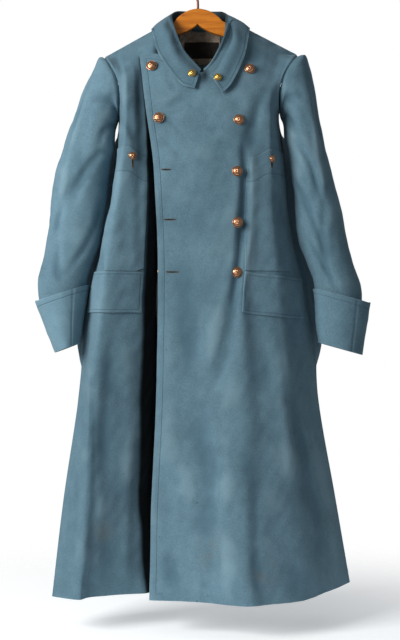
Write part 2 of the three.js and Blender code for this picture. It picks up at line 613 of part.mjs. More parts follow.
// ---------------------------------------------------------------- pieces laid on the fronts
function laidWall(panel, span, columns, rows, thickness) {
  const outer = [];
  const inner = [];
  for (let r = 0; r <= rows; r += 1) {
    const outerRow = [];
    const innerRow = [];
    for (let c = 0; c <= columns; c += 1) {
      const { u, z } = span(c / columns, r / rows);
      const point = surface(panel, u, z);
      const out = normal(panel, u, z);
      innerRow.push(point.clone().addScaledVector(out, -cloth.wall / 2));
      outerRow.push(point.clone().addScaledVector(out, cloth.seam + thickness));
    }
    outer.push(outerRow);
    inner.push(innerRow);
  }
  return { outer, inner };
}

const breastSpan = (side) => (across, down) => {
  const size = pockets.breast[side];
  const towardsEdge = side === 'left' ? 1 - across : across;
  const [from, to] = size.slant;
  const slant = Math.min(Math.max((towardsEdge - from) / (to - from), 0), 1);
  const top = mix(size.topZ, size.topAtEdgeZ, slant * slant * (3 - 2 * slant));
  return {
    u: mix(mix(size.topSpan[0], size.topSpan[1], across),
      mix(size.bottomSpan[0], size.bottomSpan[1], across), down),
    z: mix(top, size.bottomZ, down),
  };
};
const flapSpan = (side) => (across, down) => {
  const size = pockets.flap[side];
  const sag = side === 'left' ? size.dropAtSide * across : 0;
  return {
    u: mix(mix(size.topSpan[0], size.topSpan[1], across),
      mix(size.bottomSpan[0], size.bottomSpan[1], across), down),
    z: mix(size.topZ, size.bottomZ, down) - sag,
  };
};

// ---------------------------------------------------------------- buttons
function buttonSolid(size, place, out) {
  const profile = [
    [0, 0], [size.shankRadius, 0], [size.shankRadius, size.shank], [size.radius * 0.94, size.shank],
    [size.radius, size.shank + size.rim * 0.5], [size.radius * 0.96, size.shank + size.rim],
    [size.radius * 0.72, size.shank + size.rim + size.dome * 0.56],
    [size.radius * 0.38, size.shank + size.rim + size.dome * 0.9],
    [0, size.shank + size.rim + size.dome],
  ].map(([r, h]) => new THREE.Vector2(r, h));
  const geometry = new THREE.LatheGeometry(profile, 10);
  geometry.applyQuaternion(new THREE.Quaternion().setFromUnitVectors(new THREE.Vector3(0, 1, 0), out));
  geometry.translate(place.x, place.y, place.z);
  return solidOf(geometry);
}

function buttonOn(panel, spot, size, lift, from = 0) {
  const u = stationAt(panel, spot.x, spot.z, from, sections[panel](spot.z).length - 1);
  const out = normal(panel, u, spot.z);
  const place = surface(panel, u, spot.z).addScaledVector(out, lift);
  return buttonSolid(size, place, out);
}

// A button on the collar's front, found by looking straight back at it.
function collarButton(collarMesh, spot) {
  const ray = new THREE.Raycaster(new THREE.Vector3(spot.x, -500, spot.z), new THREE.Vector3(0, 1, 0));
  const [hit] = ray.intersectObject(collarMesh);
  const out = hit.face.normal.clone();
  return buttonSolid(buttonSizes.small, hit.point.clone().addScaledVector(out, cloth.seam), out);
}

// ---------------------------------------------------------------- neck lining and label
function neckWall(fromX, toX, topLimit, bottomZ, lift, thickness) {
  const outer = [];
  const inner = [];
  const columns = 5;
  const rows = 2;
  for (let r = 0; r <= rows; r += 1) {
    const outerRow = [];
    const innerRow = [];
    for (let c = 0; c <= columns; c += 1) {
      const x = mix(fromX, toX, c / columns);
      const top = Math.min(topLimit, neckZ(x, body.backNeckZ) - 1);
      const z = mix(top, bottomZ, r / rows);
      const u = stationAt('back', x, z, 0, 6);
      const inward = normal('back', u, z).negate();
      const point = surface('back', u, z).addScaledVector(inward, cloth.wall + cloth.seam + lift);
      outerRow.push(point);
      innerRow.push(point.clone().addScaledVector(inward, thickness));
    }
    outer.push(outerRow);
    inner.push(innerRow);
  }
  return { outer, inner };
}

// ---------------------------------------------------------------- hanger and hook
function hangerSolid() {
  const top = (x) => shoulderZ(x) - hanger.clearance - hanger.bevel;
  const outline = new THREE.Shape();
  const reach = hanger.archReach;
  const { left, right } = hanger.tipX;
  outline.moveTo(right, top(right));
  outline.lineTo(-reach, Math.min(top(-reach), hanger.archEndZ));
  outline.quadraticCurveTo(-reach * 0.62, hanger.archTopZ - hanger.bevel - 2, 0,
    hanger.archTopZ - hanger.bevel);
  outline.quadraticCurveTo(reach * 0.62, hanger.archTopZ - hanger.bevel - 2, reach,
    Math.min(top(reach), hanger.archEndZ));
  outline.lineTo(left, top(left));
  outline.quadraticCurveTo(left + 5, top(left) - hanger.tipHeight / 2, left, top(left) - hanger.tipHeight);
  outline.lineTo(reach, hanger.archEndZ - hanger.armHeight);
  outline.lineTo(0, hanger.notchZ + hanger.bevel);
  outline.lineTo(-reach, hanger.archEndZ - hanger.armHeight);
  outline.lineTo(right, top(right) - hanger.tipHeight);
  outline.quadraticCurveTo(right - 5, top(right) - hanger.tipHeight / 2, right, top(right));
  const geometry = new THREE.ExtrudeGeometry(outline, {
    depth: hanger.thickness - 2 * hanger.bevel, bevelEnabled: true, bevelThickness: hanger.bevel,
    bevelSize: hanger.bevel, bevelSegments: 2, curveSegments: 5,
  });
  geometry.rotateX(Math.PI / 2);
  geometry.translate(0, hanger.thickness / 2 - hanger.bevel, 0);
  return solidOf(geometry);
}

function hookSolid() {
  const radius = hook.wire / 2;
  const centreline = hook.bend + radius;
  const centreZ = -hook.bend;
  const points = [];
  for (let degrees = -15; degrees <= 190; degrees += 20.5) {
    const a = THREE.MathUtils.degToRad(degrees);
    points.push(new THREE.Vector3(Math.cos(a) * centreline, 0, centreZ + Math.sin(a) * centreline));
  }
  points.push(new THREE.Vector3(-hook.lean * 1.9, 0, centreZ - hook.bend));
  points.push(new THREE.Vector3(-1.5, 0, centreZ - hook.bend - hook.lean - 3));
  points.push(new THREE.Vector3(0, 0, hook.stemFootZ + 12));
  points.push(new THREE.Vector3(0, 0, hook.stemFootZ));
  const path = new THREE.CatmullRomCurve3(points, false, 'centripetal');
  const section = new THREE.Shape();
  section.absarc(0, 0, radius, 0, 2 * Math.PI);
  const geometry = new THREE.ExtrudeGeometry(section, {
    steps: 26, curveSegments: 4, bevelEnabled: false, extrudePath: path,
  });
  return solidOf(geometry);
}

// ---------------------------------------------------------------- the garment
const greatcoat = new THREE.Group();
function add(name, solid, look) {
  const mesh = namedMesh(name, solid, look);
  greatcoat.add(mesh);
  return mesh;
}

const panels = {
  left: panelWall('left', 4, 14),
  right: panelWall('right', 3, 14),
  back: panelWall('back', 2, 10),
};
const cuttersOf = (axes) => Object.fromEntries(
  Object.entries(panels).map(([key, item]) => [key, grown(item, axes)]));
const panelCutters = cuttersOf([]);
const sideCutters = {
  left: grown(panels.left, [[0, 1, 0]]), back: grown(panels.back, [[0, -1, 0]]),
};
const topCutters = Object.values(cuttersOf([[0, 0, 1], [0, 0, -1]]));
add('front_left', between(panels.left), woollen);
add('front_right', carved(between(panels.right), [panelCutters.left, sideCutters.back]), woollen);
add('back', carved(between(panels.back), [sideCutters.left]), woollen);

const collarShape = collarWall(24);
const collarSolid = carved(between(collarShape), topCutters);
const collarMesh = add('collar', collarSolid, woollen);
const collarCutter = grown(collarShape, [[0, 0, -1], [0, -1, 0]]);

for (const name of ['left', 'right']) {
  const side = armholes[name].side;
  const sleeve = tubeWall(sleeveTable(name), side, 14, cloth.wall);
  add(`sleeve_${name}`, between(sleeve), woollen);
  const cuff = tubeWall(cuffs[name], side, 2, cloth.doubled);
  add(`cuff_${name}`, carved(between(cuff), [grown(sleeve)]), woollen);

  const pocket = laidWall(name, breastSpan(name), 9, 7, cloth.patch);
  add(`breast_pocket_${name}`, carved(between(pocket), [panelCutters[name]]), woollen);
  const flap = laidWall(name, flapSpan(name), 9, 3, cloth.doubled);
  add(`pocket_flap_${name}`, carved(between(flap), [panelCutters[name], grown(pocket)]), woollen);

  const pocketButton = buttonOn(name, pocketButtons[name], buttonSizes.small, cloth.seam + cloth.patch);
  add(`pocket_button_${name}`, carved(pocketButton, [grown(pocket)]), copper);
  add(`collar_button_${name}`, carved(collarButton(collarMesh, collarButtons[name]), [collarCutter]), brass);
}

const sew = (name, panel, spots, first, from) => spots.forEach((spot, i) => {
  const button = buttonOn(panel, spot, buttonSizes.large, 0, from);
  add(`${name}_${i + first}`, carved(button, [panelCutters[panel]]), copper);
});
sew('button_left', 'left', leftRow, 1);
sew('button_right', 'left', fastenedRow, 1);
sew('button_right', 'right', underRow, 3, 5);

const neckLining = neckWall(body.centreX - lining.halfWidth, body.centreX + lining.halfWidth,
  lining.topZ, lining.bottomZ, 0, cloth.facing);
const neckLabel = neckWall(label.fromX, label.toX, label.topZ, label.bottomZ,
  cloth.facing + cloth.seam, label.thickness);
add('neck_lining', carved(between(neckLining), [panelCutters.back, collarCutter]), satin);
add('neck_label', carved(between(neckLabel), [grown(neckLining), panelCutters.back]), woven);
add('hanger', carved(hangerSolid(), [...topCutters, collarCutter]), varnished);
add('hook', hookSolid(), wire);

export default greatcoat;
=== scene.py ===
import math

import bmesh
import bpy
import numpy as np
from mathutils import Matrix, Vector


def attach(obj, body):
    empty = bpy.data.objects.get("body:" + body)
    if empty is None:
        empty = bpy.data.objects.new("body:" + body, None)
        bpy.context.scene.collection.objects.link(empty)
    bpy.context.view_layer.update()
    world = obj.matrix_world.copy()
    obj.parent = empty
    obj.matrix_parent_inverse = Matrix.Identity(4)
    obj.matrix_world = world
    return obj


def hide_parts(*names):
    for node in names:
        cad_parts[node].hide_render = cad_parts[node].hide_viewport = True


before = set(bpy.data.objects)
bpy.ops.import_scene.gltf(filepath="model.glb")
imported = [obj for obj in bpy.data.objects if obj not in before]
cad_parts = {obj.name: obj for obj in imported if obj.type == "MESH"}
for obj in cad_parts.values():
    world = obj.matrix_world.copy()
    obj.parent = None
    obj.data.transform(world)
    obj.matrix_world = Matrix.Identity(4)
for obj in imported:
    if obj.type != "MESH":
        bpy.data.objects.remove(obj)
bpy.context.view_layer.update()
coatBody = "root"
mm = 0.001  # shapes are worked out in millimetres, meshes are in metres
tau = 2 * math.pi
farAway = 99.0  # millimetres that stand for no edge or seam being near

# Cloth thicknesses and the gaps that sewing leaves between pieces
cloth = {"wall": 2.6, "doubled": 3.0, "patch": 2.2, "facing": 1.2, "seam": 0.3, "edgeRound": 0.8}

body = {
    "centreX": 4,
    "shoulderApexZ": -65,
    "slopeLeft": 0.52,
    "slopeRight": 0.558,
    "shoulderRound": 75,
    "shoulderPower": 2.2,
    "neckHalfWidth": 66,
    "neckFrontZ": -227,
    "neckPower": 1.9,
    "backNeckZ": -113,
    "hemZ": -1327,
    "leftHemZ": -1317,
}

armholes = {
    "left": {"side": 1, "topX": 214, "topZ": -176, "bottomX": 176, "bottomZ": -300,
             "front": 54, "back": 50, "inward": 17},
    "right": {"side": -1, "topX": -201, "topZ": -180, "bottomX": -171, "bottomZ": -316,
              "front": 56, "back": 52, "inward": 18},
}


def table(names, *rows):
    # columns by name, one value a row
    return {name: [row[i] for row in rows] for i, name in enumerate(names.split())}


sideSeams = table(
    "down rightX rightY leftX leftY",
    (300, -170, 0, 176, 0),
    (430, -178, 0, 189, 0),
    (500, -187, -2, 194, 2),
    (573, -199, -4, 206, 4),
    (650, -224, -6, 224, 6),
    (722, -237, -10, 238, 8),
    (793, -244, -14, 250, 12),
    (910, -257, -20, 262, 20),
    (1130, -288, -38, 301, 36),
    (1327, -310, -50, 336, 50),
)
leftFront = table(
    "down edgeX edgeY centreX centreY ridgeX ridgeY valleyX valleyY planeX planeY",
    (180, -124, -54, 0, -72, 108, -56, 140, -50, 176, -38),
    (300, -109, -88, 0, -92, 90, -86, 122, -80, 150, -74),
    (430, -92, -94, 0, -99, 84, -94, 110, -82, 150, -73),
    (650, -83, -96, 0, -101, 82, -98, 108, -86, 162, -75),
    (910, -87, -94, -5, -101, 88, -110, 134, -96, 192, -74),
    (1130, -97, -91, -5, -104, 84, -128, 142, -106, 208, -80),
    (1327, -101, -89, -5, -108, 101, -150, 152, -130, 219, -98),
)
rightFront = table(
    "down stripX stripY foldX foldY panelX panelY gapX gapY innerX innerY riseX riseY edgeX edgeY",
    (180, -177, -36, -162, -42, -143, -46, -120, -46, -101, -51, -96, -52, 66, -62),
    (240, -159, -60, -149, -68, -135, -66, -117, -60, -103, -63, -95, -66, 66, -73),
    (300, -159, -66, -148, -80, -134, -76, -113, -66, -100, -60, -88, -76, 66, -80),
    (430, -170, -52, -158, -78, -134, -72, -106, -58, -93, -34, -80, -80, 66, -84),
    (650, -212, -54, -190, -80, -152, -70, -113, -56, -89, -12, -76, -83, 66, -84),
    (910, -226, -76, -211, -76, -170, -62, -126, -44, -91, 2, -74, -82, 66, -84),
    (1130, -233, -84, -214, -74, -172, -56, -127, -36, -99, 4, -84, -82, 66, -86),
    (1327, -248, -86, -229, -62, -178, -40, -112, -22, -98, -4, -88, -82, 66, -88),
)
backPanel = table(
    "down quarterRX quarterRY foldRX foldRY centreX centreY foldLX foldLY quarterLX quarterLY",
    (180, -150, 32, -75, 50, 4, 54, 84, 50, 165, 32),
    (300, -142, 70, -75, 82, 4, 85, 84, 82, 152, 70),
    (350, -182, 64, -77, 84, 4, 87, 86, 84, 191, 64),
    (430, -203, 52, -80, 86, 5, 89, 90, 86, 213, 54),
    (540, -220, 46, -85, 83, 5, 87, 94, 83, 228, 50),
    (650, -249, 42, -90, 80, 5, 85, 98, 80, 255, 50),
    (722, -258, 42, -95, 80, 5, 88, 104, 80, 265, 52),
    (793, -262, 42, -99, 81, 5, 91, 109, 80, 268, 56),
    (910, -243, 44, -105, 82, 5, 96, 115, 80, 247, 68),
    (1130, -262, 34, -112, 78, 8, 110, 120, 78, 270, 86),
    (1327, -282, 30, -116, 74, 10, 124, 125, 76, 300, 98),
)
panels = {
    "left": {"rows": leftFront, "stations": "edge centre ridge valley plane".split(), "face": -1},
    "right": {"rows": rightFront, "stations": "strip fold panel gap inner rise edge".split(),
              "face": -1},
    "back": {"rows": backPanel, "stations": "quarterR foldR centre foldL quarterL".split(),
             "face": 1},
}

# One row a ring: outer x and z, inner x and z, middle y, reach in front, behind and inwards
sleeves = {
    "left": [
        (229, -175, 180, -309, -1, 56, 54, 13),
        (241, -205, 185, -322, -3, 58, 55, 8),
        (250, -250, 189, -342, -6, 58, 54, 4),
        (258, -300, 193, -368, -9, 56, 52, 1),
        (273, -372, 198, -412, -12, 53, 48, 0),
        (292, -458, 205, -484, -15, 50, 45, 0),
        (311, -540, 213, -556, -18, 48, 42, 0),
        (331, -620, 231, -620, -20, 46, 40, 0),
        (349, -690, 249, -672, -20, 43, 37, 0),
        (350, -742, 255, -715, -20, 41, 35, 0),
    ],
    "right": [
        (-211, -181, -175, -325, -1, 58, 55, 14),
        (-224, -207, -178, -336, -3, 59, 56, 8),
        (-243, -246, -181, -352, -6, 58, 54, 4),
        (-259, -292, -184, -376, -9, 56, 52, 1),
        (-280, -352, -187, -410, -12, 53, 48, 0),
        (-304, -430, -193, -466, -15, 50, 45, 0),
        (-317, -510, -202, -530, -18, 47, 42, 0),
        (-325, -585, -213, -585, -20, 46, 40, 0),
        (-342, -660, -234, -650, -22, 43, 38, 0),
        (-336, -720, -241, -700, -22, 41, 37, 0),
    ],
}
cuffs = {
    "left": [
        (368, -709, 245, -675, -20, 52, 46, 0),
        (359, -762, 250, -733, -20, 47, 41, 0),
        (349, -818, 256, -792, -20, 42, 36, 0),
    ],
    "right": [
        (-347, -705, -231, -668, -22, 52, 46, 0),
        (-326, -758, -242, -732, -22, 50, 44, 0),
        (-304, -813, -251, -793, -22, 48, 42, 0),
    ],
}

collarSections = table(
    "rollX rollY rollZ edgeX edgeY edgeZ seamX",
    (6, -72, -218, -7, -90, -262, 2),
    (-10, -65, -199, -28, -88, -256, -16),
    (-31, -56, -173, -64, -74, -215, -36),
    (-49, -36, -127, -86, -52, -176, -54),
    (-56, -6, -92, -99, -2, -117, -62),
    (-42, 34, -73, -68, 58, -130, -46),
    (4, 50, -70, 4, 66, -138, 4),
    (48, 34, -72, 78, 58, -129, 54),
    (60, -6, -92, 111, -2, -116, 70),
    (58, -36, -130, 101, -52, -178, 62),
    (42, -56, -175, 88, -76, -215, 46),
    (26, -64, -205, 66, -90, -257, 27),
    (13, -72, -219, 50, -92, -271, 13),
)
collar = {"rollRadius": 4, "layOff": 6.5, "sections": 13}

pockets = {
    "breastLeft": {"panel": "left", "topZ": -386, "edgeTopZ": -404, "bottomZ": -641, "sag": 0,
                   "topSpan": (2.72, 4.93), "bottomSpan": (2.5, 4.6), "slant": (0.38, 0.8)},
    "breastRight": {"panel": "right", "topZ": -381, "edgeTopZ": -401, "bottomZ": -641, "sag": 0,
                    "topSpan": (0.12, 3.92), "bottomSpan": (1.8, 3.92), "slant": (0.6, 1.0)},
    "flapLeft": {"panel": "left", "topZ": -642, "edgeTopZ": -642, "bottomZ": -727, "sag": 14,
                 "topSpan": (2.5, 4.94), "bottomSpan": (2.2, 4.7), "slant": (0, 1)},
    "flapRight": {"panel": "right", "topZ": -642, "edgeTopZ": -642, "bottomZ": -728, "sag": 0,
                  "topSpan": (0.45, 3.94), "bottomSpan": (0.2, 3.94), "slant": (0, 1)},
}


# Shape functions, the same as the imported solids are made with
def mix(a, b, t):
    return a + (b - a) * t


def easeBetween(low, high, value):
    t = np.clip((value - low) / (high - low), 0, 1)
    return t * t * (3 - 2 * t)


def smooth(keys, values, at):
    # curve through values at rising keys, with no overshoot between them
    keys, values = np.asarray(keys, float), np.asarray(values, float)
    at = np.clip(at, keys[0], keys[-1])
    secant = np.diff(values, axis=-1) / np.diff(keys)
    slopes = np.concatenate([secant[..., :1], secant], axis=-1)
    before, after = secant[..., :-1], secant[..., 1:]
    total = np.where(before + after == 0, 1, before + after)
    slopes[..., 1:-1] = np.where(before * after > 0, 2 * before * after / total, 0)
    slopes = np.concatenate([slopes[..., :-1], secant[..., -1:]], axis=-1)
    i = np.clip(np.searchsorted(keys, at, side="right") - 1, 0, len(keys) - 2)

    def pick(rows, index):
        if rows.ndim == 1:
            return rows[index]
        return np.take_along_axis(rows, np.asarray(index)[..., None], -1)[..., 0]

    span = keys[i + 1] - keys[i]
    f = (at - keys[i]) / span
    g = 1 - f
    ends = g * g * (1 + 2 * f) * pick(values, i) + f * f * (3 - 2 * f) * pick(values, i + 1)
    return ends + span * f * g * (g * pick(slopes, i) - f * pick(slopes, i + 1))


def shoulderZ(x):
    away = x - body["centreX"]
    slope = np.where(away > 0, body["slopeLeft"], body["slopeRight"])
    return body["shoulderApexZ"] - slope * np.abs(away)


def fullness(x, z):
    drop = np.clip((shoulderZ(x) - z) / body["shoulderRound"], 0, 1)
    return 1 - (1 - drop) ** body["shoulderPower"]


def neckZ(x, lowest):
    half = body["neckHalfWidth"]
    share = np.minimum(np.abs(x - body["centreX"]) / half, 1)
    point = shoulderZ(body["centreX"] + np.sign(x - body["centreX"]) * half)
    return mix(lowest, point, share ** body["neckPower"])


def sideEdge(name, z, face):
    # the armhole's edge at a height, or the side seam below it
    hole = armholes[name]
    k = np.clip((hole["topZ"] - z) / (hole["topZ"] - hole["bottomZ"]), 0, 1)
    bow = 4 * k * (1 - k)
    depth = hole["front"] if face < 0 else hole["back"]
    into = np.clip((hole["bottomZ"] - z) / 130, 0, 1)
    seamX = mix(hole["bottomX"], smooth(sideSeams["down"], sideSeams[name + "X"], -z), into)
    seamY = smooth(sideSeams["down"], sideSeams[name + "Y"], -z)
    above = z >= hole["bottomZ"]
    edgeX = mix(hole["topX"], hole["bottomX"], k) - hole["side"] * hole["inward"] * bow
    return np.where(above, edgeX, seamX), np.where(above, face * depth * np.sqrt(bow), seamY)


def sectionAt(panel, z):
    form = panels[panel]
    rows, xs, ys = form["rows"], [], []
    for name in form["stations"]:
        x = smooth(rows["down"], rows[name + "X"], -z)
        xs.append(x)
        ys.append(smooth(rows["down"], rows[name + "Y"], -z) * fullness(x, z))
    sides = {"left": ("", "left"), "right": ("right", ""), "back": ("right", "left")}[panel]
    for end, name in enumerate(sides):
        if name:
            x, y = sideEdge(name, z, form["face"])
            xs.insert(0 if end == 0 else len(xs), x)
            ys.insert(0 if end == 0 else len(ys), y)
    return np.stack(xs, -1), np.stack(ys, -1)


def surface(panel, u, z):
    u, z = np.broadcast_arrays(np.asarray(u, float), np.asarray(z, float))
    xs, ys = sectionAt(panel, z)
    keys = np.arange(xs.shape[-1])
    return np.stack([smooth(keys, xs, u), smooth(keys, ys, u), z], -1)


def lastStation(panel):
    return len(panels[panel]["stations"]) + (1 if panel == "back" else 0)


def unit(vectors):
    return vectors / np.maximum(np.linalg.norm(vectors, axis=-1, keepdims=True), 1e-9)


def outwardAt(panel, u, z):
    last, du, dz = lastStation(panel), 0.03, 1.5
    across = surface(panel, np.minimum(u + du, last), z) - surface(panel, np.maximum(u - du, 0), z)
    down = surface(panel, u, z - dz) - surface(panel, u, z + dz)
    return unit(np.cross(across, down)) * (1 if panel == "back" else -1)


def stationAt(panel, x, z, low=0.0):
    # the station at which a panel's surface has a given x at a given height
    x, z = np.broadcast_arrays(np.asarray(x, float), np.asarray(z, float))
    low = np.full(x.shape, float(low))
    high = np.full(x.shape, float(lastStation(panel)))
    for _ in range(32):
        middle = (low + high) / 2
        under = surface(panel, middle, z)[..., 0] < x
        low, high = np.where(under, middle, low), np.where(under, high, middle)
    return (low + high) / 2


# Creases, listed one by one
# Lines on a panel seen flat: start x and z, end x and z, how far the line bows, half width, height out
creases = {
    "left": [
        (-14, -280, -64, -308, 6, 9, -3.2),
        (-20, -268, -60, -286, 4, 10, 1.8),
        (-72, -374, -34, -408, -5, 8, -2.6),
        (-10, -406, 54, -428, 6, 10, -2.4),
        (-66, -487, -28, -492, 2, 8, -2.0),
        (-62, -318, -30, -304, 3, 6, -2.2),
        (-64, -330, -36, -352, -4, 6, -2.0),
        (-66, -222, -44, -262, 4, 8, -1.8),
        (60, -330, 20, -344, -4, 9, -1.6),
        (96, -385, 92, -560, -3, 9, -8.0),
        (92, -520, 74, -700, -4, 10, -9.5),
        (78, -660, 36, -880, -8, 17, -7.5),
        (128, -330, 112, -430, 4, 14, 3.2),
        (112, -430, 100, -640, -6, 13, 3.6),
        (140, -260, 116, -390, 8, 12, -3.0),
        (86, -250, 100, -330, -6, 16, 2.0),
        (-60, -700, -52, -1000, 5, 26, 3.2),
        (-30, -620, -10, -980, -9, 30, -4.4),
        (20, -900, 30, -1250, 6, 26, -5.2),
        (58, -1000, 62, -1320, 4, 20, 3.6),
        (150, -760, 196, -1120, -10, 16, 4.0),
        (190, -900, 262, -1310, -12, 18, -5.6),
        (232, -960, 300, -1310, -8, 15, 4.0),
        (120, -1090, 128, -1320, 5, 14, -4.6),
        (-64, -1120, -40, -1322, 8, 18, -3.4),
        (-6, -1180, 6, -1325, 3, 16, 2.0),
        (206, -740, 216, -900, 6, 12, -2.4),
    ],
    "right": [
        (-150, -290, -128, -372, 6, 12, -3.0),
        (-168, -330, -140, -388, -6, 10, 2.2),
        (-132, -430, -148, -630, 8, 18, -2.8),
        (-176, -760, -196, -1100, 6, 14, -3.4),
        (-150, -800, -150, -1250, -6, 18, 2.6),
        (-214, -760, -246, -1200, 8, 12, 2.8),
        (-236, -880, -282, -1310, -8, 13, -3.2),
        (-200, -1080, -206, -1320, 5, 12, 2.4),
        (-128, -1000, -136, -1310, 4, 12, -2.4),
        (-119, -205, -116, -400, 2, 12, -6.5),
        (-121, -380, -122, -620, 2, 12, -3.5),
        (-152, -236, -150, -330, 2, 9, 2.6),
    ],
    "back": [
        (-120, -250, -96, -380, 8, 20, -3.4),
        (132, -250, 104, -390, -8, 20, -3.4),
        (-40, -200, 50, -206, 10, 16, -2.6),
        (-60, -470, -40, -760, 8, 26, -3.4),
        (62, -500, 44, -820, -8, 28, -3.0),
        (-150, -620, -190, -1000, 10, 20, 3.4),
        (158, -640, 206, -1010, -10, 22, 3.6),
        (-96, -820, -128, -1300, 12, 24, -4.4),
        (100, -840, 134, -1300, -12, 24, -4.6),
        (-30, -860, -52, -1310, 6, 26, 3.0),
        (40, -880, 58, -1310, -6, 24, 3.2),
        (-220, -900, -262, -1300, 8, 16, -3.4),
        (226, -930, 280, -1300, -8, 18, -3.6),
        (0, -300, 4, -620, 5, 30, 1.8),
    ],
}
# On a sleeve: ring and degrees round it (90 is in front) of the start and end of each line
sleeveCreases = {
    "left": [
        (0.5, 150, 2.4, 100, 6, 9, -3.4),
        (0.8, 120, 3.0, 62, -8, 10, -2.6),
        (1.2, 164, 4.0, 120, 6, 9, -3.2),
        (3.0, 60, 7.0, 84, 8, 14, 3.2),
        (4.2, 130, 6.4, 76, 8, 10, -3.6),
        (5.6, 150, 7.4, 100, 6, 9, -3.4),
        (6.2, 66, 8.6, 112, -8, 12, -3.0),
        (7.2, 140, 9.2, 96, 5, 9, -2.6),
        (2.0, 36, 5.2, 44, 4, 12, -2.4),
        (0.6, 214, 3.2, 262, 8, 11, -3.4),
        (4.0, 206, 6.4, 262, -8, 11, -3.6),
        (6.0, 300, 8.8, 240, 8, 12, -3.2),
        (2.6, 300, 7.0, 282, 6, 14, 2.8),
    ],
    "right": [
        (0.5, 146, 2.6, 96, 6, 9, -3.2),
        (0.9, 112, 3.4, 56, -8, 11, -2.8),
        (1.6, 160, 4.4, 116, 6, 9, -3.2),
        (3.4, 52, 7.4, 72, 8, 14, 3.4),
        (4.6, 138, 6.6, 86, 8, 10, -3.4),
        (5.8, 96, 7.8, 44, 6, 10, -3.2),
        (6.6, 150, 8.8, 104, -8, 11, -3.0),
        (7.8, 60, 9.4, 100, 5, 9, -2.6),
        (2.4, 30, 5.6, 40, 4, 12, -2.2),
        (0.7, 210, 3.4, 258, 8, 11, -3.4),
        (4.2, 212, 6.6, 266, -8, 11, -3.4),
        (6.2, 296, 9.0, 238, 8, 12, -3.2),
        (2.8, 304, 7.2, 286, 6, 14, 2.8),
    ],
}


def creaseLift(lines, across, down):
    lift = np.zeros(np.broadcast(across, down).shape)
    for startX, startZ, endX, endZ, bow, width, height in lines:
        stepX, stepZ = endX - startX, endZ - startZ
        length = math.hypot(stepX, stepZ)
        along = ((across - startX) * stepX + (down - startZ) * stepZ) / length**2
        inside = np.clip(along, 0, 1)
        away = ((across - startX) * stepZ - (down - startZ) * stepX) / length
        away = (away - bow * 4 * inside * (1 - inside)) / width
        ends = easeBetween(-0.2, 0.3, along) * (1 - easeBetween(0.7, 1.2, along))
        lift += height * ends * (np.exp(-(away**2)) - 0.3 * np.exp(-((away / 2.2) ** 2)))
    return lift


waves = {"seed": 11, "count": 14, "slow": 95, "quick": 26, "slowHeight": 1.7, "quickHeight": 0.38}


def unevenness(points, seed=0):
    # the cloth's own slight waviness: plane waves in seeded directions, the same at every seam
    draw = np.random.default_rng(waves["seed"] + seed)
    total = np.zeros(points.shape[:-1])
    for size, height in ((waves["slow"], waves["slowHeight"]), (waves["quick"], waves["quickHeight"])):
        for _ in range(waves["count"]):
            direction = unit(draw.normal(size=3)) * tau / (size * draw.uniform(0.7, 1.6))
            share = height * math.sqrt(2 / waves["count"])
            total += share * np.sin(points @ direction + draw.uniform(0, tau)) / 1.4
    return total


stationWidth = 45  # millimetres from one station to the next, roughly


def clothLift(panel, points, u):
    # how far the hung cloth stands out of its plain form
    x, z = points[..., 0], points[..., 2]
    fromSeams = np.full(x.shape, farAway)
    last = lastStation(panel)
    if panel in ("left", "back"):
        fromSeams = np.minimum(fromSeams, (last - u) * stationWidth)
    if panel in ("right", "back"):
        fromSeams = np.minimum(fromSeams, u * stationWidth)
    calm = easeBetween(0, 22, fromSeams) * easeBetween(0, 40, shoulderZ(x) - z)
    return calm * (creaseLift(creases[panel], x, z) + unevenness(points)) - seamDip(fromSeams)


# The dip where two pieces are sewn together and the slight roll beside it: height, distance, width
seamShape = {"dip": (2.0, 0, 3.2), "roll": (0.8, 9, 5.0)}


def seamDip(away):
    dip, roll = [height * np.exp(-(((away - at) / width) ** 2))
                 for height, at, width in seamShape.values()]
    return dip - roll


def clothPoint(panel, u, z, lift=0.0):
    # a point of the hung cloth's outer face, and its outward direction
    u, z = np.broadcast_arrays(np.asarray(u, float), np.asarray(z, float))
    plain, out = surface(panel, u, z), outwardAt(panel, u, z)
    return plain + out * (clothLift(panel, plain, u) + lift)[..., None], out


# Meshes
def gridFaces(rows, columns, wrap, offset, flip):
    r, c = np.meshgrid(np.arange(rows - 1), np.arange(columns if wrap else columns - 1), indexing="ij")
    a = r * columns + c
    b = r * columns + (c + 1) % columns
    quads = np.stack([a, a + columns, b + columns, b], -1).reshape(-1, 4) + offset
    return quads[:, ::-1] if flip else quads


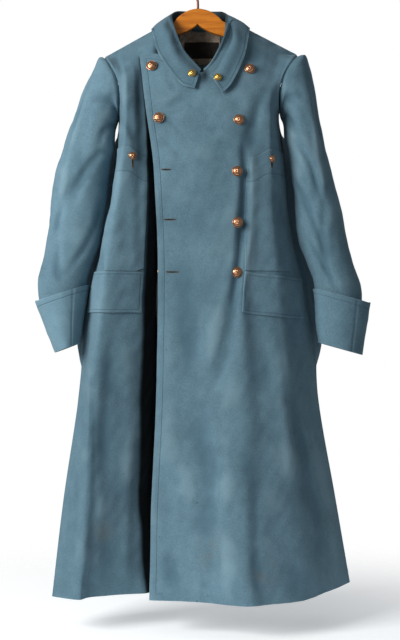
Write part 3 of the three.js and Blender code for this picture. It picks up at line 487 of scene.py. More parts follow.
def shellMesh(name, outer, inner, wrap=False, marks=None):
    # a thin closed shell between two grids of points in millimetres
    rows, columns = outer.shape[:2]
    count = rows * columns
    points = np.concatenate([outer.reshape(-1, 3), inner.reshape(-1, 3)]) * mm
    index = np.arange(count).reshape(rows, columns)
    faces = [gridFaces(rows, columns, wrap, 0, False), gridFaces(rows, columns, wrap, count, True)]
    rims = [(index[0], False), (index[-1], True)]
    if not wrap:
        rims += [(index[:, 0], True), (index[:, -1], False)]
    for edge, flip in rims:
        line = np.append(edge, edge[:1]) if wrap else edge
        rim = np.stack([line[:-1], line[1:], line[1:] + count, line[:-1] + count], -1)
        faces.append(rim[:, ::-1] if flip else rim)
    faces = np.concatenate(faces)
    corners = points[faces]
    volume = np.einsum("ij,ij->i", corners[:, 0], np.cross(corners[:, 1], corners[:, 2])).sum()
    if volume + np.einsum("ij,ij->i", corners[:, 0], np.cross(corners[:, 2], corners[:, 3])).sum() < 0:
        faces = faces[:, ::-1]
    made = bpy.data.meshes.new(name)
    made.from_pydata(points.tolist(), [], faces.tolist())
    made.shade_smooth()
    across = np.concatenate([np.zeros((rows, 1)), np.linalg.norm(np.diff(outer, axis=1), axis=-1)], 1)
    down = np.concatenate([np.zeros((1, columns)), np.linalg.norm(np.diff(outer, axis=0), axis=-1)], 0)
    flat = np.stack([across.cumsum(1), -down.cumsum(0)], -1).reshape(-1, 2) * mm
    flat = np.concatenate([flat, flat])
    layer = made.uv_layers.new(name="flat")
    corner = np.empty(len(made.loops), dtype=np.int32)
    made.loops.foreach_get("vertex_index", corner)
    layer.data.foreach_set("uv", flat[corner].astype(np.float32).ravel())
    for label, values in (marks or {}).items():
        attribute = made.attributes.new(label, "FLOAT", "POINT")
        both = np.concatenate([values.ravel(), values.ravel()]).astype(np.float32)
        attribute.data.foreach_set("value", both)
    return made


def addPiece(name, mesh, material, replaced=()):
    piece = bpy.data.objects.new(name, mesh)
    bpy.context.scene.collection.objects.link(piece)
    mesh.materials.clear()
    mesh.materials.append(material)
    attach(piece, coatBody)
    if replaced:
        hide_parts(*replaced)
    return piece


def softenRims(piece, width=cloth["edgeRound"], segments=2, corner=68):
    bevel = piece.modifiers.new("rounded rims", "BEVEL")
    bevel.width, bevel.segments = width * mm, segments
    bevel.limit_method, bevel.angle_limit = "ANGLE", math.radians(corner)
    bevel.harden_normals = True


# Fronts and back
overlapTop = table(
    "x z", (-124, -180), (-85, -183), (-65, -191), (-30, -215), (body["centreX"], body["neckFrontZ"]))


def topEdge(panel, x):
    near = np.abs(x - body["centreX"]) < body["neckHalfWidth"]
    if panel == "back":
        return np.where(near, neckZ(x, body["backNeckZ"]), shoulderZ(x))
    neck = np.where(near, neckZ(x, body["neckFrontZ"]), shoulderZ(x))
    if panel == "left":
        return np.where(x > body["centreX"], neck, smooth(overlapTop["x"], overlapTop["z"], x))
    return np.where(x > body["centreX"], body["neckFrontZ"], neck)


def hemEdge(panel, u):
    if panel == "left":
        return mix(body["hemZ"], body["leftHemZ"], np.maximum(u - 4, 0))
    if panel == "right":
        return np.full(np.shape(u), float(body["hemZ"]))
    return mix(body["hemZ"], body["leftHemZ"], u / 6)


def topZ(panel, u):
    z = np.full(np.shape(u), -180.0)
    for _ in range(14):
        z = mix(z, topEdge(panel, surface(panel, u, z)[..., 0]), 0.7)
    return z


def underShare(hole):
    return (hole["topZ"] - hole["bottomZ"]) / (hole["topZ"] - body["hemZ"])


holeRows = 64  # rows beside an armhole, with the same spacing as the points round a sleeve
panelSizes = {
    "left": {"perStation": 22, "lowRows": 190, "edgeStitch": 14, "finishedTo": -8},
    "right": {"perStation": 24, "lowRows": 150},
    "back": {"perStation": 20, "lowRows": 180},
}

# Where the top edges are drawn to the shoulder line, and over how many millimetres that fades
shoulderSeam = {"fromX": 66, "within": 16, "fade": 7}


def panelGrid(panel):
    size = panelSizes[panel]
    last = lastStation(panel)
    face = panels[panel]["face"]
    u = np.arange(last * size["perStation"] + 1) / size["perStation"]
    right, left = underShare(armholes["right"]), underShare(armholes["left"])
    under = {"left": left + 0 * u, "right": right + 0 * u, "back": mix(right, left, u / last)}[panel]
    hole = (1 - np.cos(np.pi * np.arange(holeRows + 1) / holeRows)) / 2
    low = np.arange(1, size["lowRows"] + 1) / size["lowRows"]
    shares = np.concatenate([hole[:, None] * under, mix(under, 1.0, low[:, None])])
    seamed = {"left": [len(u) - 1], "right": [0], "back": [0, len(u) - 1]}[panel]
    top = topZ(panel, u)
    for column in seamed:
        top[column] = armholes["right" if column == 0 else "left"]["topZ"]
    z = mix(top, hemEdge(panel, u), shares)
    u = np.broadcast_to(u, z.shape).copy()
    plain, out = surface(panel, u, z), outwardAt(panel, u, z)
    for column in seamed:
        side = -1 if column == 0 else 1
        atHole = z[:, column] > armholes["right" if column == 0 else "left"]["bottomZ"] + 1
        edge = out[:, column]
        edge[atHole & (edge[:, 0] * -side > 0), 0] = 0
        edge[~atHole] = (side, 0, 0)
        out[:, column] = unit(edge)
    lift = clothLift(panel, plain, u)
    outer = plain + out * lift[..., None]
    inner = outer - out * cloth["wall"]
    # fronts and back keep to their own side of the shoulder line, and of the side seam below it
    holeBottom = np.array([armholes["right" if i == 0 else "left"]["bottomZ"]
                           for i in range(z.shape[1])])
    limit = np.where(z > holeBottom + 1, 0.0, -face * 1e9)
    for column in seamed:
        below = z[:, column] <= holeBottom[column] + 1
        limit[below, column] = plain[below, column, 1]
    half = cloth["seam"] / 2
    # the shoulder seam is drawn closed: what the top edge lacks to its line fades out over a few rows
    topX, topY = np.abs(outer[0, :, 0]), np.abs(outer[0, :, 1])
    nearSeam = (topX > shoulderSeam["fromX"]) & (topY < shoulderSeam["within"])
    drawn = np.exp(-((downFrom(outer, 0) / shoulderSeam["fade"]) ** 2)) * nearSeam
    for grid in (outer, inner):
        grid[..., 1] -= (grid[0:1, :, 1] - face * half) * drawn
        if face < 0:
            grid[..., 1] = np.minimum(grid[..., 1], limit - half)
        else:
            grid[..., 1] = np.maximum(grid[..., 1], limit + half)
    return {"outer": outer, "inner": inner, "u": u, "z": z, "lift": lift}


def acrossFrom(grid, column):
    # distance along each row from one of the grid's two edge columns
    step = np.linalg.norm(np.diff(grid, axis=1), axis=-1)
    run = np.concatenate([np.zeros((grid.shape[0], 1)), step.cumsum(1)], 1)
    return run if column == 0 else run[:, -1:] - run


def downFrom(grid, row):
    step = np.linalg.norm(np.diff(grid, axis=0), axis=-1)
    run = np.concatenate([np.zeros((1, grid.shape[1])), step.cumsum(0)], 0)
    return run if row == 0 else run[-1:] - run


def fromEdges(grid):
    # distance from the nearest of the grid's four edges
    ends = (0, -1)
    return np.minimum.reduce([measure(grid, end) for measure in (acrossFrom, downFrom) for end in ends])


# Materials
class Wire:
    # one socket of a material, so that sums on it add Math nodes
    def __init__(self, finish, socket):
        self.finish, self.socket = finish, socket

    def math(self, operation, *others):
        values = {i: value for i, value in enumerate((self, *others))}
        return self.finish.node("ShaderNodeMath", values, operation=operation)

    def __add__(self, other):
        return self.math("ADD", other)

    def __sub__(self, other):
        return self.math("SUBTRACT", other)

    def __rsub__(self, other):
        return (self * -1.0) + other

    def __mul__(self, other):
        return self.math("MULTIPLY", other)

    def __truediv__(self, other):
        return self.math("DIVIDE", other)

    __radd__, __rmul__ = __add__, __mul__

    def spread(self, low, high):
        # 0 below low, 1 above high, eased between them
        values = {"Value": self, "From Min": low, "From Max": high}
        return self.finish.node("ShaderNodeMapRange", values, interpolation_type="SMOOTHSTEP")

    def bell(self, centre, width):
        away = (self - centre) / width
        return (away * away * -1.0).math("EXPONENT")


class Finish:
    # one material; constants go straight on its shader
    def __init__(self, name, **constants):
        self.material = bpy.data.materials.new(name)
        self.material.use_nodes = True
        self.tree = self.material.node_tree
        self.tree.nodes.clear()
        output = self.tree.nodes.new("ShaderNodeOutputMaterial")
        self.shader = self.tree.nodes.new("ShaderNodeBsdfPrincipled")
        self.tree.links.new(self.shader.outputs[0], output.inputs["Surface"])
        for key, value in constants.items():
            self.shader.inputs[key.replace("_", " ")].default_value = value

    def node(self, kind, values=None, output=0, **settings):
        made = self.tree.nodes.new(kind)
        for key, value in settings.items():
            setattr(made, key, value)
        for key, value in (values or {}).items():
            if isinstance(value, Wire):
                self.tree.links.new(value.socket, made.inputs[key])
            else:
                made.inputs[key].default_value = value
        return Wire(self, made.outputs[output])

    def place(self):
        return self.node("ShaderNodeTexCoord", output="Object")

    def axes(self, place):
        return [self.node("ShaderNodeSeparateXYZ", {0: place}, output=i) for i in range(3)]

    def noise(self, place, scale, detail=2.0, roughness=0.5, stretch=(1, 1, 1)):
        if stretch != (1, 1, 1):
            place = self.node("ShaderNodeMapping", {"Vector": place, "Scale": stretch})
        values = {"Vector": place, "Scale": scale, "Detail": detail, "Roughness": roughness}
        return self.node("ShaderNodeTexNoise", values)

    def blend(self, share, first, second):
        ends = [c if isinstance(c, Wire) else (*c, 1) for c in (first, second)]
        values = {0: share, 6: ends[0], 7: ends[1]}
        return self.node("ShaderNodeMix", values, output=2, data_type="RGBA")

    def mark(self, label):
        return self.node("ShaderNodeAttribute", output="Fac", attribute_name=label)

    def bump(self, height, strength, distance, under=None):
        values = {"Height": height, "Strength": strength, "Distance": distance}
        if under:
            values["Normal"] = under
        return self.node("ShaderNodeBump", values)

    def feed(self, **links):
        for key, wire in links.items():
            self.tree.links.new(wire.socket, self.shader.inputs[key.replace("_", " ")])
        return self.material


woolLook = {
    "dark": (0.074, 0.140, 0.184),
    "light": (0.150, 0.262, 0.330),
    "worn": (0.215, 0.330, 0.390),
    "dust": (0.200, 0.225, 0.220),
    # colour of the painted shade in fold troughs
    "paintedCreaseShade": (0.045, 0.100, 0.142),
    "sunk": (0.050, 0.108, 0.150),
    # hollow: near-black painted shade, laid where the painted-shade mark is set
    "hollow": (0.0035, 0.0045, 0.0060),
    "eaten": (0.012, 0.018, 0.024),
    "stained": (0.130, 0.105, 0.075),
    "twillPitch": 0.0017,
    "roughness": 0.93,
    "sheen": 0.22,
}
# Small holes and marks in the front: x, z and size in millimetres
mothMarks = [(-157, -1068, 1.8), (-2, -1122, 2.2), (-41, -1161, 1.6), (-80, -1194, 1.8),
             (-70, -1238, 1.5), (-50, -1242, 1.5), (20, -1312, 2.0), (-2, -1325, 2.4), (-66, -805, 1.6)]
stains = [(24, -1218, 24), (136, -1262, 26), (-200, -1190, 22)]


def wool(name, look, marked=False, deep=False, tint=0.0):
    made = Finish(name, Roughness=look["roughness"], Sheen_Weight=look["sheen"], Sheen_Roughness=0.45,
                  Sheen_Tint=(0.62, 0.80, 0.92, 1), Specular_IOR_Level=0.18)
    place = made.place()
    x, y, z = made.axes(place)
    flat = made.node("ShaderNodeUVMap", uv_map="flat")
    flatX, flatY, _ = made.axes(flat)
    broad = made.noise(place, 7.0, 3.0)
    cloudy = made.noise(place, 34.0, 4.0, 0.6)
    heather = made.noise(place, 330.0, 2.0, 0.7)
    nap = made.noise(flat, 900.0, 3.0, 0.6, stretch=(1.0, 0.35, 1.0))
    twill = ((flatX + flatY * 0.9) * (tau / look["twillPitch"])).math("SINE")
    # tint shifts a whole piece's tone: painted light where it is raised, painted shade where it is
    # lowered
    shade = broad * 0.30 + cloudy * 0.34 + heather * 0.46 + nap * 0.12 + twill * 0.03 - 0.11 + tint
    colour = made.blend(shade.spread(0.18, 0.86), look["dark"], look["light"])
    fold = made.mark("fold")
    colour = made.blend(fold.spread(0.4, 4.2) * 0.38, colour, look["worn"])
    # painted shade: darker in the troughs of folds and creases
    colour = made.blend((fold * -1.0).spread(0.4, 4.5) * 0.48, colour, look["paintedCreaseShade"])
    bits = made.noise(place, 620.0, 1.0, 0.4).spread(0.71, 0.78)
    colour = made.blend(bits * 0.30, colour, look["dust"])
    height = nap * 0.5 + heather * 0.6 + twill * 0.25
    normal = made.bump(height, 0.32, 0.0006)
    normal = made.bump(cloudy, 0.30, 0.0022, normal)
    rim = made.mark("rim")  # distance from the finished edge in millimetres
    sewn = made.mark("sewn")  # how far in its stitching runs, also in millimetres
    groove = rim.bell(sewn, 0.9) * sewn.spread(0.5, 1.5)
    wear = (1.0 - rim.spread(0.2, 2.0)) * (cloudy.spread(0.40, 0.66) * 0.42 + 0.04)
    colour = made.blend(wear, colour, look["worn"])
    colour = made.blend(groove * 0.42, colour, look["sunk"])
    swell = rim.bell(sewn * 0.5, 3.0) * 0.4
    normal = made.bump(swell - groove, 0.75, 0.0009, normal)
    # painted shade: the colour goes near black where the mark is set
    if deep:
        colour = made.blend(made.mark("deep"), colour, look["hollow"])
    if marked:
        front = 1.0 - y.spread(-0.03, 0.0)
        for spotX, spotZ, size in mothMarks:
            off = (x - spotX * mm).math("POWER", 2.0) + (z - spotZ * mm).math("POWER", 2.0)
            spot = 1.0 - (off.math("SQRT") + heather * 0.0012).spread(size * 0.5 * mm, size * 1.1 * mm)
            colour = made.blend(spot * front * 0.9, colour, look["eaten"])
        for spotX, spotZ, size in stains:
            spot = x.bell(spotX * mm, size * mm) * z.bell(spotZ * mm, size * 1.4 * mm)
            spot = spot * cloudy.spread(0.38, 0.62) * front
            colour = made.blend(spot * 0.30, colour, look["stained"])
    return made.feed(Base_Color=colour, Normal=normal)


def metal(name, bright, dull, hollow, roughness):
    made = Finish(name, Metallic=0.9, Specular_IOR_Level=0.5)
    place = made.place()
    tarnish = made.noise(place, 260.0, 4.0, 0.65)
    spots = made.noise(place, 900.0, 2.0, 0.5)
    relief = made.mark("relief")  # 0 in a hollow, 1 on what stands out
    colour = made.blend(tarnish.spread(0.40, 0.66) * 0.7, bright, dull)
    colour = made.blend((1.0 - relief.spread(0.10, 0.62)) * 0.85, colour, hollow)
    rough = roughness + tarnish * 0.18 + (1.0 - relief) * 0.2
    normal = made.bump(spots * 0.6 + tarnish, 0.25, 0.0005)
    return made.feed(Base_Color=colour, Roughness=rough, Normal=normal)


def thread(name, colour, paler):
    made = Finish(name, Roughness=0.75, Specular_IOR_Level=0.25)
    place = made.place()
    twist = made.noise(place, 1400.0, 2.0)
    shade = made.blend(twist.spread(0.35, 0.65), colour, paler)
    return made.feed(Base_Color=shade, Normal=made.bump(twist, 0.5, 0.0002))


def satin(name, dark, light):
    made = Finish(name, Roughness=0.5, Sheen_Weight=0.15, Sheen_Roughness=0.3, Specular_IOR_Level=0.3)
    place = made.place()
    flat = made.node("ShaderNodeUVMap", uv_map="flat")
    rib = made.noise(flat, 1300.0, 2.0, 0.5, stretch=(1.0, 0.08, 1.0))
    worn = made.noise(place, 60.0, 4.0, 0.6)
    shade = made.blend((worn * 0.8 + rib * 0.3).spread(0.35, 0.75), dark, light)
    return made.feed(Base_Color=shade, Normal=made.bump(rib + worn * 0.8, 0.35, 0.0005))


def labelCloth(name):
    made = Finish(name, Roughness=0.6, Sheen_Weight=0.15, Specular_IOR_Level=0.3)
    flat = made.node("ShaderNodeUVMap", uv_map="flat")
    flatX, flatY, _ = made.axes(flat)
    warp = (flatX * (tau / 0.0009)).math("SINE") * (flatY * (tau / 0.0007)).math("SINE")
    worn = made.noise(made.place(), 90.0, 4.0)
    shade = worn.spread(0.4, 0.7) * 0.6 + warp * 0.1
    shade = made.blend(shade, (0.010, 0.007, 0.005), (0.045, 0.030, 0.018))
    return made.feed(Base_Color=shade, Normal=made.bump(warp, 0.4, 0.0003))


def varnishedWood(name):
    made = Finish(name, Specular_IOR_Level=0.35, Coat_Roughness=0.16, Coat_Weight=0.25)
    place = made.place()
    warp = made.noise(place, 14.0, 3.0)
    x, _, z = made.axes(place)
    bands = ((z * 1.0 + x * 0.06 + warp * 0.02) * 420.0).math("SINE")
    fine = made.noise(place, 500.0, 4.0, 0.6, stretch=(0.06, 1.0, 1.0))
    worn = made.noise(place, 45.0, 4.0, 0.6)
    grain = (bands * 0.07 + fine * 0.6 + 0.24).spread(0.22, 0.8)
    shade = made.blend(grain, (0.36, 0.092, 0.008), (0.68, 0.225, 0.016))
    shade = made.blend(worn.spread(0.56, 0.72) * 0.35, shade, (0.20, 0.050, 0.012))
    rough = 0.26 + fine * 0.12 + worn * 0.12
    return made.feed(Base_Color=shade, Roughness=rough, Normal=made.bump(fine, 0.12, 0.0004))


def lacqueredWire(name):
    made = Finish(name, Metallic=0.55, Specular_IOR_Level=0.5)
    place = made.place()
    worn = made.noise(place, 160.0, 4.0, 0.6)
    shade = made.blend(worn.spread(0.42, 0.66), (0.185, 0.050, 0.022), (0.075, 0.030, 0.018))
    rough = 0.28 + worn * 0.25
    return made.feed(Base_Color=shade, Roughness=rough, Normal=made.bump(worn, 0.15, 0.0004))


plainWool = wool("grey-blue wool", woolLook, marked=True, deep=True)
innerWool = wool("grey-blue wool, unmarked", woolLook)
# the right front's wool is made darker all over: painted shade
rightFrontShadedWool = wool("grey-blue wool of the lower lap, painted shade", woolLook, marked=True, deep=True, tint=-0.11)
# the left sleeve and cuff are made darker as painted shade, the right ones lighter as painted light
sleeveWoolLitAndShaded = {
    "left": wool("grey-blue wool, left sleeve, painted shade", woolLook, tint=-0.07),
    "right": wool("grey-blue wool, right sleeve, painted light", woolLook, tint=0.06),
}
cuffWoolLitAndShaded = {
    "left": wool("grey-blue wool, left cuff, painted shade", woolLook, tint=-0.04),
    "right": wool("grey-blue wool, right cuff, painted light", woolLook, tint=0.16),
}
# the collar's wool is darker all over as painted shade, and near black as painted shade where marked
collarWoolShaded = wool("grey-blue wool, painted shade at the collar", woolLook, deep=True, tint=-0.16)
copperMetal = metal(
    "dulled copper", (0.72, 0.36, 0.20), (0.30, 0.135, 0.070), (0.018, 0.009, 0.006), 0.15)
brassMetal = metal(
    "yellow brass", (0.80, 0.54, 0.15), (0.46, 0.28, 0.07), (0.06, 0.032, 0.010), 0.15)
blueThread = thread("grey-blue thread", (0.070, 0.130, 0.175), (0.130, 0.215, 0.270))
holeThread = thread("buttonhole thread", (0.130, 0.110, 0.085), (0.250, 0.215, 0.170))
neckSatin = satin("grey-brown satin", (0.20, 0.155, 0.115), (0.60, 0.48, 0.37))
blackTape = labelCloth("black woven tape")
hangerWood = varnishedWood("orange-brown varnish")
hookLacquer = lacqueredWire("red-brown lacquer")
# near-black colour for the slits: painted shade where they open
slitShadeSheet = thread("painted shade inside a slit", (0.004, 0.005, 0.006), (0.010, 0.013, 0.016))
print("materials made")

# Shade in the depths of the front: spots as strength, x, z, half width and half height
shades = {
    "notch": (0.9, 14, -233, 9, 17),  # painted shadow between the collar's two falls
    "corner": (0.95, -86, -176, 7, 8),  # painted shade at the overlap's upper corner
    "hollowFrom": (3.98, 4.22),  # stations between which the near-black painted shade on the facing begins
    "hollowDown": (-250, -196),  # heights between which it ends
    "lap": {"strength": 0.8, "x": -123.4, "z": -187, "slant": 0.123, "halfWidth": 3.5},
    "lapTop": (-183, -190),  # heights between which the painted shadow strip beside the overlap comes in
    "lapEnd": (-330, -290),  # and those over which it fades out
}


def shadeSpot(x, z, spot):
    strength, spotX, spotZ, halfWidth, halfHeight = spot
    return strength * np.exp(-((x - spotX) / halfWidth) ** 2 - ((z - spotZ) / halfHeight) ** 2)


def lowerLapShade(outer, u, z):
    # painted shade on the facing in the depth of the opening, on a strip beside the overlap, and at its
    # upper corner
    x, clothZ, lap = outer[..., 0], outer[..., 2], shades["lap"]
    hollow = easeBetween(*shades["hollowFrom"], u) * (1 - easeBetween(*shades["hollowDown"], z))
    beside = (x - lap["x"] + (clothZ - lap["z"]) * lap["slant"]) / lap["halfWidth"]
    strip = lap["strength"] * np.exp(-(beside**2)) * easeBetween(*shades["lapTop"], clothZ)
    strip = strip * easeBetween(*shades["lapEnd"], clothZ)
    return np.maximum.reduce([hollow, strip, shadeSpot(x, clothZ, shades["corner"])])


def addPanel(panel, node, name):
    grid = panelGrid(panel)
    outer = grid["outer"]
    rims = [downFrom(outer, -1)]
    sewn = np.zeros(outer.shape[:2])
    if panel == "left":  # the overlap's front and top edges are finished and stitched
        fromFront, fromTop = acrossFrom(outer, 0), downFrom(outer, 0)
        stitch, finishedTo = panelSizes[panel]["edgeStitch"], panelSizes[panel]["finishedTo"]
        sewn = np.where(np.minimum(fromFront, fromTop) < stitch * 2, float(stitch), 0.0)
        rims += [fromFront, np.where(outer[..., 0] < finishedTo, fromTop, farAway)]
    rim = np.minimum.reduce(rims)
    marks = {"fold": grid["lift"], "rim": rim, "sewn": sewn}
    if panel == "right":
        # painted shade in the opening beside the overlap
        marks["deep"] = lowerLapShade(outer, grid["u"], grid["z"])
    elif panel == "left":
        # painted shadow under the collar's notch
        marks["deep"] = shadeSpot(outer[..., 0], outer[..., 2], shades["notch"])
    mesh = shellMesh(name, outer, grid["inner"], marks=marks)
    piece = addPiece(name, mesh, rightFrontShadedWool if panel == "right" else plainWool, [node])
    softenRims(piece)
    return piece, outer


frontLeft, frontLeftFace = addPanel("left", "front_left", "leftFrontAndOverlap")
frontRight, _ = addPanel("right", "front_right", "rightFrontAndUnderlap")
back, _ = addPanel("back", "back", "coatBack")
print("fronts and back made")


# Sleeves and cuffs
def ringPoint(table_, at, angle, side):
    rows = np.asarray(table_, float)
    keys = np.arange(len(rows))
    columns = [smooth(keys, column, at) for column in rows.T]
    outerX, outerZ, innerX, innerZ, midY, front, behind, inward = columns
    s = np.sin(angle)
    reachX, reachZ = (outerX - innerX) / 2, (outerZ - innerZ) / 2
    reach = np.hypot(reachX, reachZ)
    point = np.stack([
        (outerX + innerX) / 2 + np.cos(angle) * reachX - side * inward * s * s,
        midY - s * np.where(s > 0, front, behind),
        (outerZ + innerZ) / 2 + np.cos(angle) * reachZ,
    ], -1)
    out = np.stack(np.broadcast_arrays(
        np.cos(angle) * reachX / reach * np.minimum(at, 1), -s, np.cos(angle) * reachZ / reach), -1)
    return point, unit(out)


def sleeveTable(name):
    hole = armholes[name]
    side, gap, fold = hole["side"], cloth["seam"], cuffs[name][2]
    hidden = cloth["doubled"] + gap
    seam = (hole["topX"] + side * gap, hole["topZ"], hole["bottomX"] + side * gap, hole["bottomZ"],
            0, hole["front"], hole["back"], hole["inward"])
    end = (fold[0] - side * hidden, fold[1] + 1, fold[2] + side * hidden, fold[3] + 1,
           fold[4], fold[5] - hidden, fold[6] - hidden, 0)
    return [seam, *sleeves[name], end]


# How far the sleeves fill out below the armpit, at what height, over what spread
armpitFill = {"left": (8, -352, 27), "right": (10, -368, 31)}
sleeveSizes = {"ringStep": 62, "degree": 0.95, "rows": 150, "around": 2 * holeRows,
               "creaseDepth": 1.4, "calmTop": (0.02, 0.5), "calmEnd": (8.6, 9.6), "seamScale": 12}


def sleeveLift(name, at, angle):
    # creases are laid out flat: ring steps down the sleeve and degrees round it, both as millimetres
    across, down = np.degrees(angle) % 360 * sleeveSizes["degree"], -at * sleeveSizes["ringStep"]
    lines = [(a * sleeveSizes["degree"], -r * sleeveSizes["ringStep"], b * sleeveSizes["degree"],
              -q * sleeveSizes["ringStep"], *rest) for r, a, q, b, *rest in sleeveCreases[name]]
    return creaseLift(lines, across, down)


def sleevePoint(name, at, angle):
    point, out = ringPoint(sleeveTable(name), at, angle, armholes[name]["side"])
    wave = unevenness(point, 3 if name == "left" else 4)
    reach, height, spread = armpitFill[name]
    inner = np.maximum(-np.cos(angle), 0) ** 2
    wave = wave + reach * np.exp(-((point[..., 2] - height) / spread) ** 2) * inner
    calm = easeBetween(*sleeveSizes["calmTop"], at) * (1 - easeBetween(*sleeveSizes["calmEnd"], at))
    lift = sleeveLift(name, at, angle) * sleeveSizes["creaseDepth"] + wave
    return point, out, calm * lift - seamDip(at * sleeveSizes["seamScale"])


def addSleeve(name):
    size = sleeveSizes
    at = np.linspace(0, 1, size["rows"] + 1)[:, None] * (len(sleeveTable(name)) - 1)
    angle = np.arange(size["around"])[None, :] * tau / size["around"]
    at, angle = np.broadcast_arrays(at, angle)
    point, out, lift = sleevePoint(name, at, angle)
    outer = point + out * lift[..., None]
    inner = outer - out * cloth["wall"]
    under = np.full(lift.shape, farAway)
    title = f"sleeve{name.capitalize()}"
    marks = {"fold": lift, "rim": under, "sewn": 0 * under}
    mesh = shellMesh(title, outer, inner, wrap=True, marks=marks)
    return addPiece(title, mesh, sleeveWoolLitAndShaded[name], [f"sleeve_{name}"])


cuffSize = {"rows": 34, "edgeStitch": 12, "around": 2 * holeRows, "seamAt": {"left": 62, "right": 118},
            "seamDepth": 1.3, "seamDegrees": 2.0, "wave": 0.7, "flare": 0.8, "rimRound": 1.2}


def cuffPoint(name, at, angle):
    point, out = ringPoint(cuffs[name], at, angle, armholes[name]["side"])
    wave = cuffSize["wave"] * unevenness(point, 7)
    flare = cuffSize["flare"] * np.sin(3 * angle + 1.0) * (1 - at / 2)
    turn = np.degrees(angle) - cuffSize["seamAt"][name]
    # the cuff's own seam, in front
    seam = cuffSize["seamDepth"] * np.exp(-((turn / cuffSize["seamDegrees"]) ** 2))
    return point, out, wave + flare - seam


def addCuff(name):
    at = np.linspace(0, 2, cuffSize["rows"] + 1)[:, None]
    angle = np.arange(cuffSize["around"])[None, :] * tau / cuffSize["around"]
    at, angle = np.broadcast_arrays(at, angle)
    point, out, lift = cuffPoint(name, at, angle)
    outer = point + out * lift[..., None]
    inner = outer - out * cloth["doubled"]
    rim = np.minimum(downFrom(outer, 0), downFrom(outer, -1))
    top = downFrom(outer, 0) < cuffSize["edgeStitch"] * 2
    sewn = np.where(top, cuffSize["edgeStitch"], 0.0)
    title = f"cuff{name.capitalize()}"
    marks = {"fold": lift * 0, "rim": rim, "sewn": sewn}
    mesh = shellMesh(title, outer, inner, wrap=True, marks=marks)
    piece = addPiece(title, mesh, cuffWoolLitAndShaded[name], [f"cuff_{name}"])
    softenRims(piece, cuffSize["rimRound"])
    cuffFaces[name] = outer
    return piece


cuffFaces = {}
sleevePieces = {name: addSleeve(name) for name in ("left", "right")}
cuffPieces = {name: addCuff(name) for name in ("left", "right")}
print("sleeves and cuffs made")


# Collar
def clearOfFronts(points):
    for panel, behind in (("back", True), ("left", False)):
        chosen = (points[..., 2] <= shoulderZ(points[..., 0])) & ((points[..., 1] > 0) == behind)
        x, z = points[..., 0], points[..., 2]
        y = surface(panel, stationAt(panel, x, z), z)[..., 1]
        if behind:
            clear = np.maximum(points[..., 1], y + collar["layOff"])
        else:
            clear = np.minimum(points[..., 1], y - collar["layOff"])
        points[..., 1] = np.where(chosen, clear, points[..., 1])
    return points


def collarSeam(at, x):
    behind = (at > 4) & (at < 8)
    z = np.where(behind, neckZ(x, body["backNeckZ"]), neckZ(x, body["neckFrontZ"]))
    full = fullness(x, z)
    right = smooth(rightFront["down"], rightFront["innerY"], -z)
    left = smooth(leftFront["down"], leftFront["centreY"], -z)
    rear = smooth(backPanel["down"], backPanel["centreY"], -z)
    y = np.where(at < 4, right, np.where(behind, rear, left)) * full
    return np.stack([x, y, z], -1)


def collarProfiles(at):
    # eight points across the collar at each place along it: seam, fold and free edge
    keys = np.arange(collar["sections"])
    value = {name: smooth(keys, rows, at) for name, rows in collarSections.items()}
    roll = np.stack([value["rollX"], value["rollY"], value["rollZ"]], -1)
    edge = np.stack([value["edgeX"], value["edgeY"], value["edgeZ"]], -1)
    seam = collarSeam(at, value["seamX"])
    up, down = roll - seam, edge - roll
    rise = unit(up)
    out = unit(down - rise * (down * rise).sum(-1, keepdims=True))
    bend = collar["rollRadius"]
    points = [
        seam,
        seam + up * 0.5,
        seam + up * 0.86,
        roll + out * bend * 0.35,
        roll + out * bend * 1.25 + down * 0.1,
        clearOfFronts(roll + down * 0.36 + out * bend * 1.7),
        clearOfFronts(roll + down * 0.7 + out * bend * 1.5),
        clearOfFronts(edge),
    ]
    return np.stack(points, -2)


collarSize = {"along": 168, "across": 40, "edgeStitch": 6, "finishedFrom": 4.2, "sewnFrom": 4.4,
              "passes": 8}


def collarMiddle():
    at = np.linspace(0, collar["sections"] - 1, collarSize["along"] + 1)
    profile = collarProfiles(at)
    # even steps round each profile, on a curve through its points
    k = np.linspace(0, 7, collarSize["across"] + 1)
    i = np.clip(k.astype(int), 0, 6)
    t = (k - i)[None, :, None]
    p = [profile[:, np.clip(i + j, 0, 7)] for j in (-1, 0, 1, 2)]
    curve = 0.5 * (2 * p[1] + (p[2] - p[0]) * t + (2 * p[0] - 5 * p[1] + 4 * p[2] - p[3]) * t**2
                   + (3 * p[1] - p[0] - 3 * p[2] + p[3]) * t**3)
    return at, k, curve


def collarGrid():
    at, k, middle = collarMiddle()
    # eases the corners that the profile's few points leave along the collar
    for _ in range(collarSize["passes"]):
        middle[1:-1, 1:-1] = (middle[:-2, 1:-1] + 2 * middle[1:-1, 1:-1] + middle[2:, 1:-1]) / 4
    along = np.gradient(middle, axis=0)
    across = np.gradient(middle, axis=1)
    out = unit(np.cross(along, across))
    return at, k, middle, out


collarAt, collarAcross, collarMid, collarOut = collarGrid()


